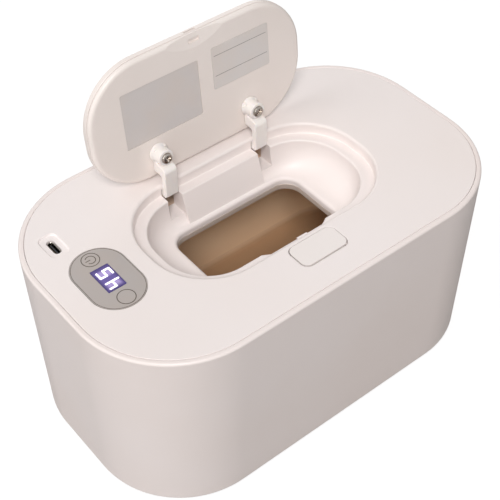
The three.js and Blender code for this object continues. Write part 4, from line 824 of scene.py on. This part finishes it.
def buildRules(plate, s):
    # thin ruled lines printed across the plate
    face = topZ - plate["face"]
    return gathered("label_rules", [
        boxAt("rule", plate["x"], plate["y"] - plate["halfY"] + 2 * plate["halfY"] * share,
              plate["halfX"] * s["length"], s["half"], face - s["sunk"], face + s["proud"])
        for share in s["places"]])


settle(opened(buildLiner(liner)), "lid", lidPlastic, ["lid_liner"], 28)
settle(opened(buildPlate("blank_sheet", blankPlate)), "lid", blankSheet, ["blank_plate"])
settle(opened(buildPlate("label_sheet", labelPlate)), "lid", labelSheet, ["label_plate"])
settle(opened(buildRules(labelPlate, rules)), "lid", ruleInk)
print("liner and plates built")

# Gooseneck arms with a round boss, drawn open about the pin
arm = {"width": 7, "column": 3.2, "under": 2.4, "wallGap": 0.3, "elbow": 2, "hub": 2, "top": 13.4,
       "neck": 5.4, "padGap": 0.3, "pad": 2.2, "near": 11, "far": 23.2, "disc": 4.8, "boss": 4.1,
       "reach": 4.4, "edge": 0.6, "inner": 1.2, "foot": 0.4, "outer": 2.9, "shoulder": 0.5, "lean": 0.05,
       "tuck": 0.1, "soften": 1.35, "pinHole": 1.3}


def arc(cy, cz, radius, start, end, steps):
    turns = [math.radians(start + (end - start) * i / steps) for i in range(steps + 1)]
    return [(cy + radius * math.cos(t), cz + radius * math.sin(t)) for t in turns]


def curve(start, bend, end, steps):
    # a soft corner between two points
    shares = [i / steps for i in range(steps + 1)]
    return [tuple((1 - t) ** 2 * a + 2 * t * (1 - t) * b + t * t * c for a, b, c in zip(start, bend, end))
            for t in shares]


def swung(y, z):
    # a point of the closed lid, from the pin, where it stands with the lid open
    c, s = math.cos(math.radians(hinge["open"])), math.sin(math.radians(hinge["open"]))
    return c * y + s * z, -s * y + c * z


def buildArm(name, x, s):
    back = recess["y"] - s["wallGap"] - hinge["y"]
    front = back - s["column"]
    padBack = topZ - hinge["z"] - lid["thick"] - s["padGap"]
    padFront = padBack - s["pad"]
    padFoot, padTip = swung(-s["near"], padFront), swung(-s["far"], padFront)
    tipBack, footBack = swung(-s["far"], padBack), swung(-s["near"], padBack)
    low, under = s["top"] - s["neck"] + s["under"], s["top"] + s["under"]
    shoulder, inner = s["top"] - s["shoulder"], s["inner"]
    outline = [
        *arc(0, 0, s["hub"], 90, -90, 16),
        *arc(front + s["elbow"], 0, s["elbow"], -90, -180, 8),
        *arc(front + s["outer"], shoulder, s["outer"], 180, 90, 10),
        *curve((padFoot[0] - s["under"], shoulder + s["outer"]), (padFoot[0], under),
               (padFoot[0] + s["lean"], under + inner), 6),
        padTip, tipBack,
        *curve(footBack, (footBack[0] - s["tuck"], low), (footBack[0] - inner, low), 4),
        *arc(back + inner, low - inner, inner, 90, 180, 6),
        *arc(back + s["foot"], s["hub"] + s["foot"], s["foot"], 180, 270, 4),
    ]
    half = s["width"] / 2
    placed = [(y + hinge["y"], z + hinge["z"]) for y, z in outline]
    made = bevelled(prism(name, placed, x - half, x + half), s["soften"], 4, 60)
    padZ, faceZ = hinge["z"] + padBack, hinge["z"] + padFront
    end = faceZ - s["reach"]
    profile = [(0, end), *quarter(pair, s["boss"], end, s["edge"], 5, -1, 1), (s["boss"], faceZ),
               (s["disc"], faceZ + s["disc"] - s["boss"]), (s["disc"], padZ), (0, padZ)]
    join(made, opened(spun("boss", profile, x, lid["postY"], 64)))
    hole = rod(lid["bore"], end - past, padZ + past, x, lid["postY"])
    pinTurn = [(hinge["y"] + y, hinge["z"] + z) for y, z in arc(0, 0, s["pinHole"], 0, 345, 23)]
    return carve(made, opened(hole), prism("pin_hole", pinTurn, x - s["width"], x + s["width"]))


sides = {"left": -1, "right": 1}
for name, side in sides.items():
    settle(buildArm(f"arm_{name}", side * lid["postX"], arm), "lid", armPlastic,
           [f"hinge_arm_{name}"], 45)
print("arms built")

# Screws with a domed head and a tapered cross
armScrew = {"shank": 1.1, "head": 2.8, "height": 1.3, "cross": 0.62, "wing": 0.8, "deep": 0.95, "low": 13.55,
            "top": 1.9}
baseScrew = {"shank": 1.1, "head": 2.6, "height": 1.2, "cross": 0.6, "wing": 0.75, "deep": 0.8}
screwForm = {"dome": 0.82, "power": 5, "steps": 10, "foot": 0.22, "above": 0.2, "mouth": 0.1}


def buildScrew(name, x, y, low, high, s):
    form, head, neck = screwForm, s["head"], low + s["height"]
    profile = [(0, low)]
    for step in range(form["steps"]):
        share = (step + 1) / form["steps"]
        rise = form["dome"] - form["dome"] * math.sqrt(1 - share ** form["power"])
        profile.append((head * share, low + s["height"] * rise))
    profile += [(head, neck), (s["shank"], neck), (s["shank"], high), (0, high)]
    made = spun(name, profile, x, y, 48)
    reach, foot, half = head * s["cross"], head * form["foot"], s["wing"] / 2
    above, mouth, deep = low - form["above"], low + form["mouth"], low + s["deep"]
    outline = [(-reach, above), (reach, above), (reach, mouth), (foot, deep), (-foot, deep), (-reach, mouth)]
    along = prism("cross_x", [(x + a, z) for a, z in outline], y - half, y + half, "y")
    across = prism("cross_y", [(y + a, z) for a, z in outline], x - half, x + half, "x")
    return carve(made, along, across)


for name, side in sides.items():
    piece = buildScrew(f"arm_screw_head_{name}", side * lid["postX"], lid["postY"],
                       topZ - armScrew["low"], topZ - armScrew["top"], armScrew)
    settle(opened(piece), "lid", screwMetal, [f"arm_screw_{name}"], 30)

for name in [name for name in nodes if name.startswith("base_screw")]:
    low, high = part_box(name)
    settle(buildScrew(f"{name}_head", *middleOf(name), low[2] / mm, high[2] / mm, baseScrew), "base",
           screwMetal, [name], 30)
print("screws turned")


# Release button
def buildButton(s):
    flangeZ, flangeUnder = underZ - body["gap"], underZ - body["gap"] - s["flange"]
    at = ringsOf(s["x"], s["y"], s["r"], cy=s["cy"], steps=12)
    made = skin("button_skin",
                [*quarter(at, -s["round"], topZ, s["round"], 6, 1, -1), at(0, flangeUnder)][::-1])
    flange = [ring(s["x"] + s["flangeSide"], s["y"] + s["flangeFront"] / 2, s["r"], z,
                   cy=s["cy"] - s["flangeFront"] / 2, steps=8) for z in (flangeUnder, flangeZ)]
    run, root = s["footTip"] - s["footTop"], flangeUnder + s["rooted"]
    stem = rod(s["stem"], topZ - s["stemDepth"], root, 0, s["cy"], 32)
    front, back = s["legY"] - s["legThick"], s["legY"] + s["legThick"]
    top, tip = topZ - s["footTop"], topZ - s["footTip"]
    legs = [prism("leg", [(front, root), (front, top), (front + run, tip), (back + run, tip), (back, top),
                          (back, root)], side * s["legX"] - s["legHalf"], side * s["legX"] + s["legHalf"])
            for side in (-1, 1)]
    return join(made, skin("flange", flange), stem, *legs)


settle(buildButton(button), "button", buttonPlastic, ["release_button"])

# Return spring under the button
spring = {"wire": 0.3, "turns": 5, "steps": 160, "sides": 10, "travel": 1.2}


def buildSpring(s):
    low, high = (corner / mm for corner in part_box("button_spring"))
    radius = (high[0] - low[0]) / 2 - s["wire"]
    foot, rise = low[2] + s["wire"], high[2] - low[2] - 2 * s["wire"]
    rings = []
    section = arc(radius, 0, s["wire"], 0, 360 - 360 / s["sides"], s["sides"] - 1)
    for step in range(s["steps"] + 1):
        share = step / s["steps"]
        turn, z = share * s["turns"] * 2 * math.pi, foot + rise * share
        rings.append([(reach * math.cos(turn), button["cy"] + reach * math.sin(turn), z + up)
                      for reach, up in section])
    return skin("button_coil", rings)


coil = settle(buildSpring(spring), "cover", springWire, ["button_spring"], 60)
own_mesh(coil)
print("button built")

# Control overlay with its window, the printed touch rings and the power symbol
marks = {"ringY": 13.9, "blankY": -14.0, "ring": 4.1, "line": 0.42, "arc": 2.3, "gapTurn": 40, "bar": 2.5,
         "borderInset": 0.35, "border": 0.25, "proud": 0.02, "sunk": 0.03}
overlayRing = ringsOf(overlay["x"], overlay["y"], overlay["r"], cx=overlay["cx"], steps=24)


def windowRing(grow, z):
    return ring(overlay["windowX"] + grow, overlay["windowY"] + grow, overlay["windowR"], z, cx=overlay["cx"],
                steps=24)


def buildOverlay(s):
    top, foot, edge = topZ - s["sink"], topZ - s["thick"], s["windowEdge"]
    return skin("overlay_sheet", [
        overlayRing(0, foot), *quarter(overlayRing, -s["edge"], top, s["edge"], 3, 1, -1)[::-1],
        windowRing(edge, top), windowRing(0, top - edge), windowRing(0, foot),
    ], looped=True)


def band(name, radius, width, low, high, cx, cy, start=0, end=360, steps=64):
    # flat band along a circle, whole or part of it
    whole = end - start >= 360
    turns = [math.radians(start + (end - start) * i / steps) for i in range(steps if whole else steps + 1)]
    inner, outer = radius - width / 2, radius + width / 2
    corners = ((inner, low), (outer, low), (outer, high), (inner, high))
    return skin(name, [[(cx + r * math.cos(t), cy + r * math.sin(t), z) for r, z in corners] for t in turns],
                looped=whole)


def buildMarks(s):
    low, high = topZ - overlay["sink"] - s["sunk"], topZ - overlay["sink"] + s["proud"]
    cx, line, y = overlay["cx"], s["line"], s["ringY"]
    outer, inner = -s["borderInset"], -s["borderInset"] - s["border"]
    return gathered("overlay_marks", [
        skin("border", [overlayRing(outer, low), overlayRing(outer, high),
                        overlayRing(inner, high), overlayRing(inner, low)], looped=True),
        band("power_ring", s["ring"], line, low, high, cx, y),
        band("blank_ring", s["ring"], line, low, high, cx, s["blankY"]),
        band("power_arc", s["arc"], line, low, high, cx, y, 180 + s["gapTurn"], 540 - s["gapTurn"], 40),
        box("power_bar", (cx - s["bar"], y - line / 2, low), (cx, y + line / 2, high)),
    ])


settle(buildOverlay(overlay), "cover", overlayFilm, ["control_overlay"])
settle(buildMarks(marks), "cover", printInk)
print("overlay printed")

# Display: a violet glow behind the window, with two white numerals read from the left end
display = {"halfX": 4.6, "halfY": 7.6, "low": 2.5, "top": 0.05, "edge": 0.12, "cx": -82.65, "tall": 3.1,
           "wide": 1.75, "stroke": 1.0, "fiveY": 3.2, "fourY": -4.3, "proud": 0.02, "sunk": 0.05,
           "bevel": 0.9, "corner": 0.35}
halo = {"tall": 1.3, "wide": 1.1, "shift": 0.55, "apart": 3.75, "edge": (66, 52, 118),
        "middle": (104, 86, 166), "near": (186, 166, 228)}


def glowFinish(s, h):
    # brightest round the numerals, darkest at the window's edge
    finish = Finish("display_glow", 0.22, Emission_Strength=0.8, Coat_Weight=0.15)
    x, y = (axis / mm for axis in finish.axes()[:2])
    edge = finish.ramp((abs(x - overlay["cx"]) / s["halfX"]).larger(abs(y) / s["halfY"]), 0, 1, 0.6, 1.0)
    nearX = finish.ramp(abs(x - s["cx"]) / (s["tall"] + h["tall"]), 1, 0, 0.55, 1.0)
    nearY = finish.ramp(abs(abs(y + h["shift"]) - h["apart"]) / (s["wide"] + h["wide"]), 1, 0, 0.5, 1.0)
    cloud = finish.noise(500, 2)
    middle = finish.blend(nearX * nearY, linear(*h["middle"]), linear(*h["near"]))
    finish.set("Emission Color", finish.blend(edge * (0.8 + cloud * 0.4), middle, linear(*h["edge"])))
    finish.set("Roughness", finish.ramp(cloud, 0.18, 0.28))
    return finish.material


def numeralFinish():
    finish = Finish("numeral_light", 0.4, Emission_Strength=1.0)
    cloud = finish.noise(900, 2)
    finish.set("Emission Color", finish.blend(cloud, linear(250, 246, 255), linear(240, 232, 252)))
    return finish.material


def buildNumerals(s):
    # each stroke is given from its numeral's middle: across towards +Y, up towards -X
    tall, wide = s["tall"], s["wide"]
    strokes = {
        s["fiveY"]: [((-wide, tall), (wide, tall)), ((-wide, 0), (-wide, tall)), ((-wide, 0), (wide, 0)),
                     ((wide, -tall), (wide, 0)), ((-wide, -tall), (wide, -tall))],
        s["fourY"]: [((-wide, 0), (-wide, tall)), ((-wide, 0), (wide, 0)), ((wide, -tall), (wide, tall))],
    }
    half, face = s["stroke"] / 2, topZ - s["top"]
    bars = []
    for centre, lines in strokes.items():
        for (a, b), (c, d) in lines:
            halfY, halfX = (c - a) / 2 + half, (d - b) / 2 + half
            cx, cy = s["cx"] - (b + d) / 2, centre + (a + c) / 2
            bars.append(skin("bar", [ring(halfX, halfY, half * s["bevel"], z, cx, cy, 6)
                                     for z in (face - s["sunk"], face + s["proud"])]))
    return join(*bars)


def buildWindow(s):
    at = ringsOf(s["halfX"], s["halfY"], s["corner"], cx=overlay["cx"], steps=5)
    edge = quarter(at, -s["edge"], topZ - s["top"], s["edge"], 3, 1, -1)[::-1]
    return skin("window_lens", [at(0, topZ - s["low"]), *edge])


settle(buildWindow(display), "cover", glowFinish(display, halo), ["display_window"])
settle(buildNumerals(display), "cover", numeralFinish())
print("display lit")

# Socket: drawn shell, moulded tongue and its gold contacts
tongue = {"halfX": 0.35, "halfY": 3.3, "top": 2.4, "core": 0.95, "coreY": 3.4, "coreLow": 95.1,
          "coreHigh": 95.9, "pitch": 0.5, "contact": 0.14, "contactLow": 98.0, "contactHigh": 99.9,
          "rooted": 0.4, "soft": 0.12, "coreSoft": 0.15, "foil": 0.04, "places": 5}


def buildSocket(s):
    foot, mouth, wall, lip = topZ - s["foot"], topZ - s["mouth"], s["wall"], s["lip"]
    at = ringsOf(s["x"], s["y"], s["x"], s["cx"], s["cy"], 12)
    return skin("socket_skin", [at(0, foot), at(0, mouth - lip), at(-lip, mouth), at(-wall + lip, mouth),
                                at(-wall, mouth - lip), at(-wall, foot + s["floor"])])


def buildTongue(s):
    x, y = socket["cx"], socket["cy"]
    blade = boxAt("tongue", x, y, s["halfX"], s["halfY"], s["coreLow"] + s["rooted"], topZ - s["top"])
    core = boxAt("core", x, y, s["core"], s["coreY"], s["coreLow"], s["coreHigh"])
    return join(bevelled(blade, s["soft"], 2), bevelled(core, s["coreSoft"], 2))


def buildContacts(s):
    places = [(socket["cx"] + side * s["halfX"], socket["cy"] + place * s["pitch"])
              for side in (-1, 1) for place in range(-s["places"], s["places"] + 1)]
    return gathered("socket_contacts", [boxAt("contact", x, y, s["foil"], s["contact"], s["contactLow"],
                                              s["contactHigh"]) for x, y in places])


settle(buildSocket(socket), "cover", screwMetal, ["usb_socket"])
settle(buildTongue(tongue), "cover", darkPlastic, ["usb_tongue"])
settle(buildContacts(tongue), "cover", goldContact)
print("socket built")

# Heater plate with its collar under the throat, and the pan above it
heater = {"x": 72, "y": 44, "r": 20, "low": 28.7, "high": 27.5, "collar": 1.1, "inset": 0.1, "top": 25.3,
          "edge": 0.2, "bend": 0.6}
pan = {"outer": 5.1, "inner": 6.7, "top": 2.5, "floor": 25.3, "under": 26.8, "opening": 1.4, "round": 1.0,
       "screwX": 68, "screwY": 49, "bore": 1.45, "fuseX": 56, "fuseHalfX": 3, "fuseHalfY": 10,
       "sensorY": 24, "sensor": 2.5, "edge": 0.2}


def buildHeater(s):
    low, high, top, edge = topZ - s["low"], topZ - s["high"], topZ - s["top"], s["edge"]
    collar, inset, bend = s["collar"], s["inset"], s["bend"]
    at = ringsOf(s["x"], s["y"], s["r"])
    return skin("heater_skin", [
        at(-edge, low), at(0, low + edge), at(0, high - edge), at(-edge, high),
        *quarter(throatRing, collar, high, bend, 4, 1, 1),
        *[throatRing(grow, z) for grow, z in (
            (collar, top - edge), (collar - edge, top), (inset + edge, top), (inset, top - edge),
            (inset, low + bend), (inset + bend / 2, low))],
    ], looped=True)


def buildPan(s):
    under, floor, top, edge = topZ - s["under"], topZ - s["floor"], topZ - s["top"], s["edge"]
    outer, inner, below, above = s["outer"], s["inner"], under - past, floor + past
    made = skin("pan_skin", [
        *quarter(panelRing, outer, under, s["round"], 4, 1, 1),
        *[panelRing(inset, z) for inset, z in (
            (outer, top - edge), (outer + edge, top), (inner - edge, top), (inner, top - edge),
            (inner, floor))],
        throatRing(s["opening"], floor), throatRing(s["opening"], under),
    ], looped=True)
    return carve(made, *[rod(s["bore"], below, above, x, y) for x, y in corners(s["screwX"], s["screwY"])],
                 boxAt("fuse_window", s["fuseX"], 0, s["fuseHalfX"], s["fuseHalfY"], below, above),
                 rod(s["sensor"], below, above, s["fuseX"], s["sensorY"]))


settle(buildHeater(heater), "cover", heaterMetal, ["heater_plate"])
settle(buildPan(pan), "cover", innerPlastic, ["cover_pan"])
print("heater and pan built")

# Bottom plate with a fine rib pattern, and the rubber feet
bottomPlate = {"low": 1.4, "high": 3.6, "inset": 2.7, "edge": 0.4, "footX": 80, "footY": 36, "foot": 7,
               "pocket": 1.1, "screwX": 60, "screwY": 40, "counterbore": 2.9, "counterDeep": 1.2,
               "bore": 1.45, "ventHalf": 9, "vent": 0.6, "ventPitch": 4, "vents": 7, "ventDeep": 0.7}
rubberFoot = {"round": 0.5, "ring": 4.6, "ringWidth": 0.8, "ringDeep": 0.5, "top": 2.2}


def buildBottom(s):
    low, below, edge, inset = s["low"], s["low"] - past, s["edge"], s["inset"]
    made = skin("bottom_skin", [shellRing(inset + edge, low), shellRing(inset, low + edge),
                                shellRing(inset, s["high"])])
    tools = []
    for place, (x, y) in zip(corners(s["footX"], s["footY"]), corners(s["screwX"], s["screwY"])):
        tools.append(rod(s["foot"] + body["gap"], below, low + s["pocket"], *place, 48))
        tools.append(rod(s["counterbore"], below, low + s["counterDeep"], x, y, 48))
        tools.append(rod(s["bore"], below, s["high"] + past, x, y))
    for place in range(s["vents"]):
        x = (place - (s["vents"] - 1) / 2) * s["ventPitch"]
        tools.append(skin("groove", [ring(s["vent"], s["ventHalf"], s["vent"], z, x, 0, 4)
                                     for z in (below, low + s["ventDeep"])]))
    return carve(made, *tools)


def buildFoot(name, x, y, s):
    radius = bottomPlate["foot"]
    outer, inner = s["ring"] + s["ringWidth"] / 2, s["ring"] - s["ringWidth"] / 2
    profile = [(0, 0), (inner, 0), (inner, s["ringDeep"]), (outer, s["ringDeep"]), (outer, 0),
               *quarter(pair, radius, 0, s["round"], 4, -1, 1), (radius, s["top"]), (0, s["top"])]
    return spun(name, profile, x, y, 64)


settle(buildBottom(bottomPlate), "base", shellPlastic, ["bottom_plate"])
for name in [name for name in nodes if name.startswith("foot_")]:
    settle(buildFoot(f"{name}_rubber", *middleOf(name), rubberFoot), "base", footRubber,
           [name])
print("bottom plate and feet built")

# Finishes of the pieces that show as they are packed
packed = {
    "heating_film": heaterFilm, "thermal_fuse": ceramicWhite, "temperature_sensor": darkPlastic,
    "heater_lead": leadRed, "return_lead": leadBlack, "control_board": boardLacquer, "main_chip": darkPlastic,
    "heater_driver": darkPlastic, "filter_capacitor": heaterMetal, "display_module": darkPlastic,
    "touch_spring_front": springWire, "touch_spring_back": springWire, "hinge_carrier": carrierPaintedShade,
    "hinge_pin": springWire, "torsion_spring_left": springWire, "torsion_spring_right": springWire,
    "latch_housing": innerPlastic, "latch_slider": panelPlastic, "insulation_wrap": wrapFelt,
}
packed.update({name: screwMetal for name in nodes if "_screw_" in name})
for name, material in packed.items():
    dressed(nodes[name], material)
print("packed pieces finished")

# Plain pale floor, soft studio light
studio = {"floorHalf": 4000, "floorGlow": 0.76, "worldLight": 0.33, "aim": (0, 0, 0.08)}
lamps = {
    "key_softbox": {"place": (-1.22, -1.5, 2.3), "size": 1.0, "power": 53.0, "colour": (1, 0.985, 0.975)},
    "left_softbox": {"place": (-1.5, 0.1, 0.6), "size": 0.9, "power": 4.8, "colour": (1, 0.99, 0.98)},
    "back_softbox": {"place": (-0.9, 0.5, 1.6), "size": 0.7, "power": 3.0, "colour": (0.98, 0.99, 1)},
    "rear_softbox": {"place": (1.0, 1.5, 0.55), "size": 0.9, "power": 3.2, "colour": (1, 0.99, 0.98)},
}


def addFloor(s):
    half = s["floorHalf"]
    floor = newMesh("studio_floor", [(-half, -half, 0), (half, -half, 0), (half, half, 0), (-half, half, 0)],
                    [(0, 1, 2, 3)])
    finish = Finish("floor_paint", 0.9, Emission_Strength=1.0)
    seen = finish.node("ShaderNodeLightPath", output="Is Camera Ray")
    glow = (s["floorGlow"], s["floorGlow"], s["floorGlow"], 1)
    finish.set("Emission Color", finish.blend(seen, (0, 0, 0, 1), glow))
    floor.data.materials.append(finish.material)


def addWorld(s):
    world = bpy.data.worlds.new("studio")
    world.use_nodes = True
    bpy.context.scene.world = world
    graph = Graph(world.node_tree)
    lit = graph.node("ShaderNodeBackground", {}, {"Color": (1, 0.99, 0.98, 1), "Strength": s["worldLight"]})
    plain = graph.node("ShaderNodeBackground", {}, {"Color": (1, 1, 1, 1), "Strength": 1.0})
    seen = graph.node("ShaderNodeLightPath", output="Is Camera Ray")
    glossy = Wire(graph, seen.socket.node.outputs["Is Glossy Ray"])
    both = graph.node("ShaderNodeMixShader", {}, {0: seen.larger(glossy), 1: lit, 2: plain})
    graph.feed(world.node_tree.nodes["World Output"].inputs[0], both)


def addLamp(name, aim, s):
    data = bpy.data.lights.new(name, "AREA")
    data.size = s["size"]
    data.energy = s["power"]
    data.color = s["colour"]
    lamp = bpy.data.objects.new(name, data)
    lamp.location = s["place"]
    lamp.rotation_euler = (Vector(aim) - Vector(s["place"])).to_track_quat("-Z", "Y").to_euler()
    bpy.context.scene.collection.objects.link(lamp)


addFloor(studio)
addWorld(studio)
for name, lamp in lamps.items():
    addLamp(name, studio["aim"], lamp)
bpy.context.scene.view_settings.view_transform = "Standard"
print("stage lit")
